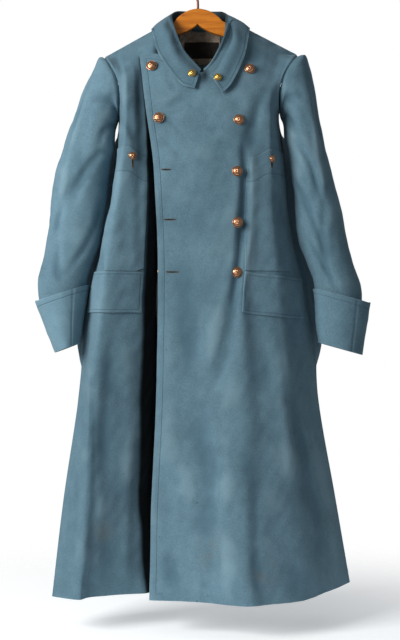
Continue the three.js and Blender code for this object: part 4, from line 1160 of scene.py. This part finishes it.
def addCollar():
    half = cloth["doubled"] / 2
    wave = 0.35 * unevenness(collarMid, 9)[..., None]
    outer, inner = collarMid + collarOut * (half + wave), collarMid - collarOut * (half - wave)
    fall = collarAcross > collarSize["finishedFrom"]
    edges = [acrossFrom(outer, -1), downFrom(outer, 0), downFrom(outer, -1)]
    rim = np.where(fall[None, :], np.minimum.reduce(edges), farAway)
    sewn = np.where(fall[None, :], collarSize["edgeStitch"], 0.0) + 0 * rim
    # the stand's inner face is in shade on both sides of the back's middle
    besideMiddle = (np.abs(collarAt[:, None] - 6) - 1.5) / 1.5
    inside = easeBetween(3.9, 3.3, collarAcross[None, :]) * np.exp(-(besideMiddle**2))
    marks = {"fold": 0 * rim, "rim": rim, "sewn": sewn, "deep": inside * 0.9}
    mesh = shellMesh("collarStandAndFall", outer, inner, marks=marks)
    piece = addPiece("collarStandAndFall", mesh, collarWoolShaded, ["collar"])
    softenRims(piece, 1.0)
    return piece, outer


collarPiece, collarFace = addCollar()
print("collar made")


# Pockets laid on the fronts
pocketSize = {"across": 46, "down": 90, "flapDown": 40, "edgeStitch": 6, "facingDown": 51}


def pocketPlace(name, across, down):
    size = pockets[name]
    towardsEdge = 1 - across if size["panel"] == "left" else across
    top = mix(size["topZ"], size["edgeTopZ"], easeBetween(*size["slant"], towardsEdge))
    start = mix(size["topSpan"][0], size["topSpan"][1], across)
    end = mix(size["bottomSpan"][0], size["bottomSpan"][1], across)
    return mix(start, end, down), mix(top, size["bottomZ"], down) - size["sag"] * across


def addPocket(name, node, thickness, base, rows):
    across, down = np.meshgrid(np.linspace(0, 1, pocketSize["across"] + 1), np.linspace(0, 1, rows + 1))
    u, z = pocketPlace(name, across, down)
    panel = pockets[name]["panel"]
    point, out = clothPoint(panel, u, z, base)
    lift = clothLift(panel, surface(panel, u, z), u)
    inner, outer = point, point + out * thickness
    rim = fromEdges(outer)
    sewn = np.full(rim.shape, float(pocketSize["edgeStitch"]))
    if name.startswith("breast"):  # a patch has one line across it, where its facing ends
        rim, sewn = downFrom(outer, 0), np.full(rim.shape, float(pocketSize["facingDown"]))
    marks = {"fold": lift, "rim": rim, "sewn": sewn}
    clothFaces[name] = outer
    mesh = shellMesh(name, outer, inner, marks=marks)
    piece = addPiece(name, mesh, innerWool, [node])
    softenRims(piece, 0.9)
    return piece


clothFaces = {}
for side in ("Left", "Right"):
    addPocket("breast" + side, f"breast_pocket_{side.lower()}",
                                              cloth["patch"], cloth["seam"], pocketSize["down"])
    addPocket("flap" + side, f"pocket_flap_{side.lower()}",
                                            cloth["doubled"], cloth["seam"] * 2, pocketSize["flapDown"])
print("pockets made")


# Buttons
buttonSizes = {
    "large": {"radius": 11.0, "dome": 5.2, "rim": 1.6, "shank": 3.0, "shankRadius": 3.2, "around": 48},
    "small": {"radius": 8.0, "dome": 3.8, "rim": 1.3, "shank": 2.0, "shankRadius": 2.4, "around": 40},
}
# Shares of a button's radius, and heights in millimetres
buttonShape = {"rimAt": 0.935, "hollowAt": 0.86, "crownFrom": 0.82, "ringAt": 0.66, "ringWidth": 0.10,
               "grooveAt": 0.52, "grooveWidth": 0.05, "grooveDepth": 0.45, "petals": 8,
               "petalsFrom": 0.08, "petalsTo": 0.45, "petalHeight": 0.28}
leftRow = [(108, -218), (85, -327), (81, -435), (82, -541), (81, -644)]
fastenedRow = [(-97, -211), (-81, -323)]
underRow = [(-64, -435), (-64, -541), (-73, -643)]
pocketButtonSpots = {"left": (153, -406), "right": (-138, -400)}
collarButtonSpots = {"left": (42, -240), "right": (-13, -232)}


def buttonProfile(size):
    # radius, height and relief of a domed button with a rolled rim, a hollow ring and a raised crown
    radius, rim, dome = size["radius"], size["rim"], size["dome"]
    foot = size["shank"]
    shank = size["shankRadius"]
    points = [(0, 0, 0), (shank, 0, 0), (shank, foot, 0), (radius * 0.9, foot, 0.1)]
    for step in range(7):
        a = -math.pi / 2 + step * math.pi / 6
        r = radius * buttonShape["rimAt"] + math.cos(a) * rim * 0.5
        points.append((r, foot + rim / 2 + math.sin(a) * rim / 2, 0.9))
    points.append((radius * buttonShape["hollowAt"], foot + rim * 0.62, 0.0))
    for step in range(15):
        share = step / 14
        r = radius * buttonShape["crownFrom"] * math.cos(share * math.pi / 2)
        h = foot + rim * 0.8 + (dome + rim * 0.2) * math.sin(share * math.pi / 2)
        groove = (r / radius - buttonShape["grooveAt"]) / buttonShape["grooveWidth"]
        groove = buttonShape["grooveDepth"] * math.exp(-(groove**2))
        ring = (r / radius - buttonShape["ringAt"]) / buttonShape["ringWidth"]
        relief = 0.35 + 0.65 * math.exp(-(ring**2))
        raised = 0.25 if groove > 0.2 else max(relief, 0.55 * share + 0.2)
        points.append((max(r, 0.0), h - groove, raised))
    return points


def buttonMesh(name, placed):
    # all the buttons of one finish: a list of (place, outward direction, size)
    points, faces, relief = [], [], []
    for place, out, size in placed:
        turn = Vector((0, 0, 1)).rotation_difference(Vector(out))
        profile, around = buttonProfile(size), size["around"]
        first = len(points)
        for i, (r, h, raised) in enumerate(profile):
            single = r < 1e-6
            for j in range(1 if single else around):
                a = tau * j / around
                crown = 0.0
                if buttonShape["petalsFrom"] < r / size["radius"] < buttonShape["petalsTo"]:
                    crown = buttonShape["petalHeight"] * math.cos(buttonShape["petals"] * a)
                p = turn @ Vector((math.cos(a) * r, math.sin(a) * r, h + crown))
                points.append((np.asarray(place) + np.asarray(p)) * mm)
                relief.append(raised + crown * 1.6)
        start = first + 1
        rings = len(profile) - 2
        faces += [(first, start + (j + 1) % around, start + j) for j in range(around)]
        for i in range(rings - 1):
            low, high = start + i * around, start + (i + 1) * around
            for j in range(around):
                k = (j + 1) % around
                faces.append((low + j, low + k, high + k, high + j))
        top = start + rings * around
        high = start + (rings - 1) * around
        faces += [(high + j, high + (j + 1) % around, top) for j in range(around)]
    made = bpy.data.meshes.new(name)
    made.from_pydata([tuple(p) for p in points], [], faces)
    made.shade_smooth()
    attribute = made.attributes.new("relief", "FLOAT", "POINT")
    attribute.data.foreach_set("value", np.asarray(relief, dtype=np.float32))
    return made


def spotOn(panel, x, z, lift, low=0.0):
    return clothPoint(panel, stationAt(panel, x, z, low), z, lift)


def collarSpot(x, z):
    # the place on the collar's outer face, in front, nearest to a given x and z
    front = collarFace[:, collarAcross > 4]
    away = np.hypot(front[..., 0] - x, front[..., 2] - z) + np.where(front[..., 1] > -40, 999, 0)
    i, k = np.unravel_index(away.argmin(), away.shape)
    return front[i, k], collarOut[:, collarAcross > 4][i, k]


largeSpots = [spotOn("left", x, z, 0.2) for x, z in leftRow + fastenedRow]
largeSpots += [spotOn("right", x, z, 0.2, 5) for x, z in underRow]
pocketLift = cloth["seam"] * 2 + cloth["patch"]
pocketSpots = [spotOn(side, *pocketButtonSpots[side], pocketLift) for side in ("left", "right")]
collarSpots = [collarSpot(*collarButtonSpots[side]) for side in ("left", "right")]
largeNodes = [f"button_left_{i}" for i in range(1, 6)] + [f"button_right_{i}" for i in range(1, 6)]
large, small = buttonSizes["large"], buttonSizes["small"]
addPiece(
    "largeButtons", buttonMesh("largeButtons", [(p, out, large) for p, out in largeSpots]),
    copperMetal, largeNodes)
addPiece(
    "pocketButtons", buttonMesh("pocketButtons", [(p, out, small) for p, out in pocketSpots]),
    copperMetal, ["pocket_button_left", "pocket_button_right"])
addPiece(
    "collarButtons",
    buttonMesh("collarButtons", [(p + out * cloth["seam"], out, small) for p, out in collarSpots]),
    brassMetal, ["collar_button_left", "collar_button_right"])
print("buttons made")


# Sewing
stitches = {
    "edge": {"Pitch": 3.6, "Length": 2.5, "Thickness": 0.62},
    "purl": {"Pitch": 1.0, "Length": 0.95, "Thickness": 0.95},
}


def stitchTree():
    # stitches strung along every line of a mesh
    tree = bpy.data.node_groups.new("stitches along lines", "GeometryNodeTree")
    tree.interface.new_socket("Geometry", in_out="INPUT", socket_type="NodeSocketGeometry")
    for key in ("Pitch", "Length", "Thickness"):
        tree.interface.new_socket(key, in_out="INPUT", socket_type="NodeSocketFloat")
    tree.interface.new_socket("Material", in_out="INPUT", socket_type="NodeSocketMaterial")
    tree.interface.new_socket("Geometry", in_out="OUTPUT", socket_type="NodeSocketGeometry")

    def add(kind, links=(), **settings):
        made = tree.nodes.new(kind)
        for key, value in settings.items():
            setattr(made, key, value)
        for key, source in links:
            tree.links.new(source, made.inputs[key])
        return made

    given = add("NodeGroupInput").outputs
    line = add("GeometryNodeMeshToCurve", [(0, given["Geometry"])])
    even = add("GeometryNodeResampleCurve", [
        ("Curve", line.outputs[0]), ("Length", given["Pitch"])], mode="LENGTH")
    bead = add("GeometryNodeMeshUVSphere")
    bead.inputs["Segments"].default_value = 6
    bead.inputs["Rings"].default_value = 5
    bead.inputs["Radius"].default_value = 0.5
    size = add("ShaderNodeCombineXYZ", [
        ("X", given["Length"]), ("Y", given["Thickness"]), ("Z", given["Thickness"])])
    along = add("GeometryNodeInputTangent")
    turned = add("FunctionNodeAlignRotationToVector", [("Vector", along.outputs[0])], axis="X")
    placed = add("GeometryNodeInstanceOnPoints", [
        ("Points", even.outputs[0]), ("Instance", bead.outputs["Mesh"]),
        ("Rotation", turned.outputs[0]), ("Scale", size.outputs[0])])
    real = add("GeometryNodeRealizeInstances", [(0, placed.outputs[0])])
    finished = add("GeometryNodeSetMaterial", [
        ("Geometry", real.outputs[0]), ("Material", given["Material"])])
    add("NodeGroupOutput", [(0, finished.outputs[0])])
    return tree


sewingTree = stitchTree()


def addStitches(name, lines, kind, material):
    points, edges = [], []
    for line in lines:
        first = len(points)
        points += (np.asarray(line) * mm).tolist()
        edges += [(i, i + 1) for i in range(first, len(points) - 1)]
    paths = bpy.data.meshes.new(name + "Paths")
    paths.from_pydata(points, edges, [])
    carrier = bpy.data.objects.new(name + "Paths", paths)
    bpy.context.scene.collection.objects.link(carrier)
    sewing = carrier.modifiers.new("stitches", "NODES")
    sewing.node_group = sewingTree
    for item in sewingTree.interface.items_tree:
        if item.in_out == "INPUT" and item.name in stitches[kind]:
            sewing[item.identifier] = stitches[kind][item.name] * mm
        elif item.in_out == "INPUT" and item.name == "Material":
            sewing[item.identifier] = material
    bpy.context.view_layer.update()
    evaluated = carrier.evaluated_get(bpy.context.evaluated_depsgraph_get())
    mesh = bpy.data.meshes.new_from_object(evaluated)
    mesh.name = name
    mesh.shade_smooth()
    carrier.modifiers.remove(sewing)
    bpy.data.objects.remove(carrier)
    return addPiece(name, mesh, material)


def inset(grid, edge, distance, trim=0.0, stop=None):
    # the line on a grid of points that keeps its distance from one edge; trim shortens both ends
    turned = {"first": grid, "last": grid[:, ::-1], "top": grid.swapaxes(0, 1),
              "bottom": grid.swapaxes(0, 1)[:, ::-1]}[edge]
    runs = np.concatenate([np.zeros((len(turned), 1)),
                           np.linalg.norm(np.diff(turned, axis=1), axis=-1).cumsum(1)], 1)
    line = np.array([[np.interp(distance, run, row[:, i]) for i in range(3)]
                     for run, row in zip(runs, turned)])
    length = np.append(0, np.linalg.norm(np.diff(line, axis=0), axis=-1).cumsum())
    end = length[-1] - trim if stop is None else stop
    at = np.arange(trim, end, 3.0)
    return np.stack([np.interp(at, length, line[:, i]) for i in range(3)], -1)


def onCloth(panel, spots, lift=0.05):
    # a line of points on a panel through a few places given by x and z
    spots = np.asarray(spots, float)
    length = np.append(0, np.hypot(*np.diff(spots, axis=0).T).cumsum())
    at = np.linspace(0, length[-1], max(int(length[-1] / 3), 2) + 1)
    x, z = np.interp(at, length, spots[:, 0]), np.interp(at, length, spots[:, 1])
    return clothPoint(panel, stationAt(panel, x, z), z, lift)[0]


# Open slits: panel, start x and z, end x and z, lift above the panel
openSlits = [
    ("left", -76, -431, -56, -431.5, 0.0),
    ("left", -72, -535, -45, -535, 0.0),
    ("left", -67, -644, -40, -644, 0.0),
    ("left", -104, -211, -88, -212, 0.0),
    ("left", -89, -323, -73, -324, 0.0),
    ("right", -138, -398, -137, -425, pocketLift),
    ("left", 153, -404, 153, -425, pocketLift),
]
tornSlits = [("right", -130, -641.5, -116, -636, pocketLift), ("left", 194.5, -634, 194.5, -640, 0.0)]
slitLook = {"halfWidth": 1.15, "tornHalfWidth": 0.8, "purlOut": 0.7}


def slitPlace(panel, along, beside, slit):
    _, startX, startZ, endX, endZ, lift = slit
    stepX, stepZ = endX - startX, endZ - startZ
    length = math.hypot(stepX, stepZ)
    x = startX + stepX * along - stepZ / length * beside
    z = startZ + stepZ * along + stepX / length * beside
    return clothPoint(panel, stationAt(panel, x, z), z, lift + 0.15)


def slitGrids(slit, halfWidth):
    along, side = np.meshgrid(np.linspace(0.01, 0.99, 25), np.linspace(-1, 1, 5), indexing="ij")
    wide = halfWidth * np.sqrt(np.sin(np.pi * np.clip(along, 0.02, 0.98)))
    point, out = slitPlace(slit[0], along, side * wide, slit)
    crown = (0.12 * (1 - side**2))[..., None]
    return point + out * crown, point - out * 0.6


def purlLine(slit, halfWidth):
    a = np.linspace(0, tau, 65)
    wide = halfWidth + slitLook["purlOut"]
    beside = np.sin(a) * wide / np.maximum(np.sqrt(np.abs(np.sin(a))), 0.35)
    along = 0.5 - 0.5 * np.cos(a) * 1.06
    return slitPlace(slit[0], along, beside, slit)[0]


# the slits are thin near-black sheets on the cloth: painted shade for the openings
def addSlits():
    grids = [slitGrids(slit, slitLook["halfWidth"]) for slit in openSlits]
    grids += [slitGrids(slit, slitLook["tornHalfWidth"]) for slit in tornSlits]
    meshes = [shellMesh("slit", outer, inner) for outer, inner in grids]
    joined = bmesh.new()
    for mesh in meshes:
        joined.from_mesh(mesh)
    whole = bpy.data.meshes.new("buttonholeSlits")
    joined.to_mesh(whole)
    joined.free()
    whole.shade_smooth()
    return addPiece("buttonholeSlits", whole, slitShadeSheet)


def edgeLines():
    lines = [inset(frontLeftFace, "first", panelSizes["left"]["edgeStitch"], 14)]
    lines.append(inset(frontLeftFace, "top", panelSizes["left"]["edgeStitch"], 14, 70))
    for piece in ("flapLeft", "flapRight"):
        grid = clothFaces[piece]
        lines += [inset(grid, "top", d, 6) for d in (5, 13)]
        lines += [inset(grid, "bottom", d, 6) for d in (6, 13)]
        lines += [inset(grid, side, 6, 6) for side in ("first", "last")]
    for piece in ("breastLeft", "breastRight"):
        lines.append(inset(clothFaces[piece], "top", pocketSize["facingDown"], 2))
    for name in ("left", "right"):
        ring = inset(cuffFaces[name], "top", cuffSize["edgeStitch"])
        lines.append(np.concatenate([ring, ring[:1]]))
    fall = collarFace[:, collarAcross > collarSize["sewnFrom"]]
    stitch = collarSize["edgeStitch"]
    lines += [inset(fall, side, stitch, stitch) for side in ("last", "top", "bottom")]
    lines += [onCloth("left", [(x, -268), (x + 2, -334)]) for x in (9, 14)]
    return lines


edgeStitches = addStitches("edgeStitches", edgeLines(), "edge", blueThread)
addSlits()
purls = [purlLine(slit, slitLook["halfWidth"]) for slit in openSlits]
buttonholeStitches = addStitches("buttonholeStitches", purls, "purl", holeThread)
print("sewing made", len(edgeStitches.data.polygons), len(buttonholeStitches.data.polygons))

# Neck lining and label
lining = {"halfWidth": 46, "topZ": -113, "bottomZ": -185, "columns": 70, "rows": 50}
label = {"fromX": -31, "toX": 46, "topZ": -136, "bottomZ": -171, "thickness": 0.8,
         "columns": 60, "rows": 30}


def neckGrid(fromX, toX, size, lift, thickness, wrinkle):
    columns = np.linspace(fromX, toX, size["columns"] + 1)
    x, share = np.meshgrid(columns, np.linspace(0, 1, size["rows"] + 1))
    top = np.minimum(size["topZ"], neckZ(x, body["backNeckZ"]) - 1)
    z = mix(top, size["bottomZ"], share)
    u = stationAt("back", x, z)
    point, out = clothPoint("back", u, z)
    pucker = wrinkle * (0.5 + 0.5 * np.sin(x / 3.1 + 1.4 * np.sin(z / 7.0))) * np.sin(np.pi * share)
    base = point - out * (cloth["wall"] + cloth["seam"] + lift + pucker)[..., None]
    return base, base - out * thickness


def addNeckPiece(name, node, grids, material, sheetRim):
    outer, inner = grids
    marks = {"rim": fromEdges(outer), "sewn": np.full(outer.shape[:2], sheetRim)}
    mesh = shellMesh(name, outer, inner, marks=marks)
    return addPiece(name, mesh, material, [node])


liningGrids = neckGrid(body["centreX"] - lining["halfWidth"], body["centreX"] + lining["halfWidth"],
                       lining, 0.0, cloth["facing"], 0.9)
labelGrids = neckGrid(label["fromX"], label["toX"], label,
                      cloth["facing"] + 1.2, label["thickness"], 0.15)
neckLining = addNeckPiece("neckLining", "neck_lining", liningGrids, neckSatin, 0.0)
neckLabel = addNeckPiece("neckLabel", "neck_label", labelGrids, blackTape, 2.0)

# Hanger and hook
hanger = {"archTopZ": -75, "notchZ": -109, "archReach": 52, "archEndZ": -104, "armHeight": 27,
          "tipHeight": 16, "tipLeft": 200, "tipRight": -190, "thickness": 14, "bevel": 3,
          "clearance": 8.4, "archBend": 0.62, "archSag": 2, "tipBulge": 6, "notchBend": 0.30,
          "notchSink": 16, "edgeSteps": 4, "edgeCorner": 50}
hook = {"wire": 5, "bend": 20, "lean": 8, "stemFootZ": -74, "stem": 12,
        "turn": (-15, 190.1), "turnStep": 20.5, "steps": 110, "passes": 12, "around": 20}


def bezierRun(a, control, b, count):
    t = np.linspace(0, 1, count + 1)[1:, None]
    a, control, b = np.asarray(a, float), np.asarray(control, float), np.asarray(b, float)
    return ((1 - t) ** 2 * a + 2 * t * (1 - t) * control + t**2 * b).tolist()


def straightRun(a, b, count):
    t = np.linspace(0, 1, count + 1)[1:, None]
    return (np.asarray(a, float) * (1 - t) + np.asarray(b, float) * t).tolist()


def hangerOutline():
    # the hanger's outline seen from in front, out to its full edge
    def topAt(x):
        return float(shoulderZ(x)) - hanger["clearance"]

    reach, end, top = hanger["archReach"], hanger["archEndZ"], hanger["archTopZ"]
    bend, sag, bulge = reach * hanger["archBend"], top - hanger["archSag"], hanger["tipBulge"]
    leftX, rightX = hanger["tipLeft"] + hanger["bevel"], hanger["tipRight"] - hanger["bevel"]
    archRight = (-reach, min(topAt(-reach), end + hanger["bevel"]))
    archLeft = (reach, min(topAt(reach), end + hanger["bevel"]))
    points = [(rightX, topAt(rightX))]
    points += straightRun(points[-1], archRight, 12)
    points += bezierRun(archRight, (-bend, sag), (0, top), 14)
    points += bezierRun((0, top), (bend, sag), archLeft, 14)
    points += straightRun(archLeft, (leftX, topAt(leftX)), 12)
    tipLeft = (leftX, topAt(leftX) - hanger["tipHeight"] - hanger["bevel"])
    points += bezierRun(points[-1], (leftX + bulge, (points[-1][1] + tipLeft[1]) / 2), tipLeft, 8)
    under = end - hanger["armHeight"] - hanger["bevel"]
    points += straightRun(tipLeft, (reach, under), 12)
    notch, side = hanger["notchZ"], reach * hanger["notchBend"]
    sunk = notch - hanger["notchSink"]
    points += bezierRun((reach, under), (side, sunk), (0, notch), 12)
    points += bezierRun((0, notch), (-side, sunk), (-reach, under), 12)
    tipRight = (rightX, topAt(rightX) - hanger["tipHeight"] - hanger["bevel"])
    points += straightRun((-reach, under), tipRight, 12)
    points += bezierRun(tipRight, (rightX - bulge, (tipRight[1] + points[0][1]) / 2), points[0], 8)[:-1]
    return points


def addHanger():
    outline = hangerOutline()
    half, count = hanger["thickness"] / 2, len(outline)
    points = [(x * mm, y * mm, z * mm) for y in (-half, half) for x, z in outline]
    faces = [tuple(range(count)), tuple(range(2 * count - 1, count - 1, -1))]
    faces += [(i, i + count, (i + 1) % count + count, (i + 1) % count) for i in range(count)]
    mesh = bpy.data.meshes.new("hangerBow")
    mesh.from_pydata(points, [], faces)
    mesh.validate()
    mesh.shade_smooth()
    piece = addPiece("hangerBow", mesh, hangerWood, ["hanger"])
    softenRims(piece, hanger["bevel"], hanger["edgeSteps"], hanger["edgeCorner"])
    return piece


def hookPath():
    radius, bend = hook["wire"] / 2, hook["bend"]
    centre = bend + radius
    points = []
    for degrees in np.arange(*hook["turn"], hook["turnStep"]):
        a = math.radians(degrees)
        points.append((math.cos(a) * centre, 0, -bend + math.sin(a) * centre))
    points.append((-hook["lean"] * 1.9, 0, -2 * bend))
    points.append((-1.5, 0, -2 * bend - hook["lean"] - 3))
    points += [(0, 0, hook["stemFootZ"] + above) for above in (hook["stem"], 0)]
    return np.asarray(points, float)


def addHook():
    path = hookPath()
    keys = np.arange(len(path))
    at = np.linspace(0, len(path) - 1, hook["steps"])
    line = np.stack([np.interp(at, keys, path[:, i]) for i in range(3)], -1)
    for _ in range(hook["passes"]):
        line[1:-1] = (line[:-2] + 2 * line[1:-1] + line[2:]) / 4
    along = unit(np.gradient(line, axis=0))
    across = np.array([0.0, 1.0, 0.0])
    beside = unit(np.cross(along, across))
    around, radius = hook["around"], hook["wire"] / 2
    a = np.arange(around) * tau / around
    ring = (np.cos(a)[None, :, None] * beside[:, None, :] + np.sin(a)[None, :, None] * across) * radius
    tube = line[:, None, :] + ring
    rows = len(line)
    points = np.concatenate([tube.reshape(-1, 3), line[:1] - along[:1] * radius * 0.6, line[-1:]]) * mm
    faces = gridFaces(rows, around, True, 0, False).tolist()
    first, last = rows * around, rows * around + 1
    faces += [(first, j, (j + 1) % around) for j in range(around)]
    end = (rows - 1) * around
    faces += [(last, end + (j + 1) % around, end + j) for j in range(around)]
    mesh = bpy.data.meshes.new("hangerHook")
    mesh.from_pydata(points.tolist(), [], faces)
    mesh.shade_smooth()
    return addPiece("hangerHook", mesh, hookLacquer, ["hook"])


hangerBow = addHanger()
addHook()
print("hanger and hook made")


# Floor, lights and camera
stageLook = {"floorZ": -1.40, "floorRadius": 1.2, "ambient": 0.20}
# Power, size, place, what it points at, and colour
lamps = {
    "key": (92, 1.5, (-1.95, -1.60, 0.15), (0.0, 0, -0.60), (1.0, 0.985, 0.96)),
    "fill": (9, 2.2, (2.6, -2.6, -0.2), (0, 0, -0.75), (0.95, 0.98, 1.0)),
    "behind": (7, 2.0, (1.4, 2.6, 0.8), (0, 0, -0.7), (1.0, 1.0, 1.0)),
}
view = {"lens": 73.26, "sensor": 36, "place": (0.0043, -2.8, -0.74365)}


def addFloor():
    bpy.ops.mesh.primitive_circle_add(vertices=96, radius=stageLook["floorRadius"], fill_type="NGON",
                                      location=(0, 0, stageLook["floorZ"]))
    floor = bpy.context.object
    floor.name = "paleFloor"
    made = Finish("pale floor", Base_Color=(0.93, 0.96, 0.98, 1), Roughness=0.9, Specular_IOR_Level=0.1,
                  Emission_Color=(0.97, 0.985, 1.0, 1), Emission_Strength=0.35)
    x, y, _ = made.axes(made.place())
    fade = 1.0 - (x * x + y * y).math("SQRT").spread(0.25, stageLook["floorRadius"] * 0.95)
    floor.data.materials.append(made.feed(Alpha=fade))


def addLight(name, power, size, place, aim, colour):
    light = bpy.data.lights.new(name, "AREA")
    light.energy, light.size, light.color = power, size, colour
    lamp = bpy.data.objects.new(name, light)
    bpy.context.scene.collection.objects.link(lamp)
    lamp.location = place
    lamp.rotation_euler = (Vector(aim) - Vector(place)).to_track_quat("-Z", "Y").to_euler()


def addStage():
    scene = bpy.context.scene
    addFloor()
    for name, lamp in lamps.items():
        addLight(name, *lamp)
    world = bpy.data.worlds.new("white studio")
    world.use_nodes = True
    tree = world.node_tree
    seen, lit = tree.nodes["Background"], tree.nodes.new("ShaderNodeBackground")
    seen.inputs["Color"].default_value, seen.inputs["Strength"].default_value = (1, 1, 1, 1), 1.0
    lit.inputs["Color"].default_value = (0.93, 0.97, 1.0, 1)
    lit.inputs["Strength"].default_value = stageLook["ambient"]
    ray, join = tree.nodes.new("ShaderNodeLightPath"), tree.nodes.new("ShaderNodeMixShader")
    tree.links.new(ray.outputs["Is Camera Ray"], join.inputs[0])
    tree.links.new(lit.outputs[0], join.inputs[1])
    tree.links.new(seen.outputs[0], join.inputs[2])
    tree.links.new(join.outputs[0], tree.nodes["World Output"].inputs["Surface"])
    scene.world = world
    scene.view_settings.view_transform = "Standard"
    scene.view_settings.look = "None"
    lens = bpy.data.cameras.new("camera")
    lens.sensor_width, lens.sensor_fit, lens.lens = view["sensor"], "AUTO", view["lens"]
    lens.clip_start, lens.clip_end = 0.1, 40
    camera = bpy.data.objects.new("camera", lens)
    camera.location = view["place"]
    camera.rotation_euler = (math.pi / 2, 0, 0)
    scene.collection.objects.link(camera)
    scene.camera = camera


addStage()
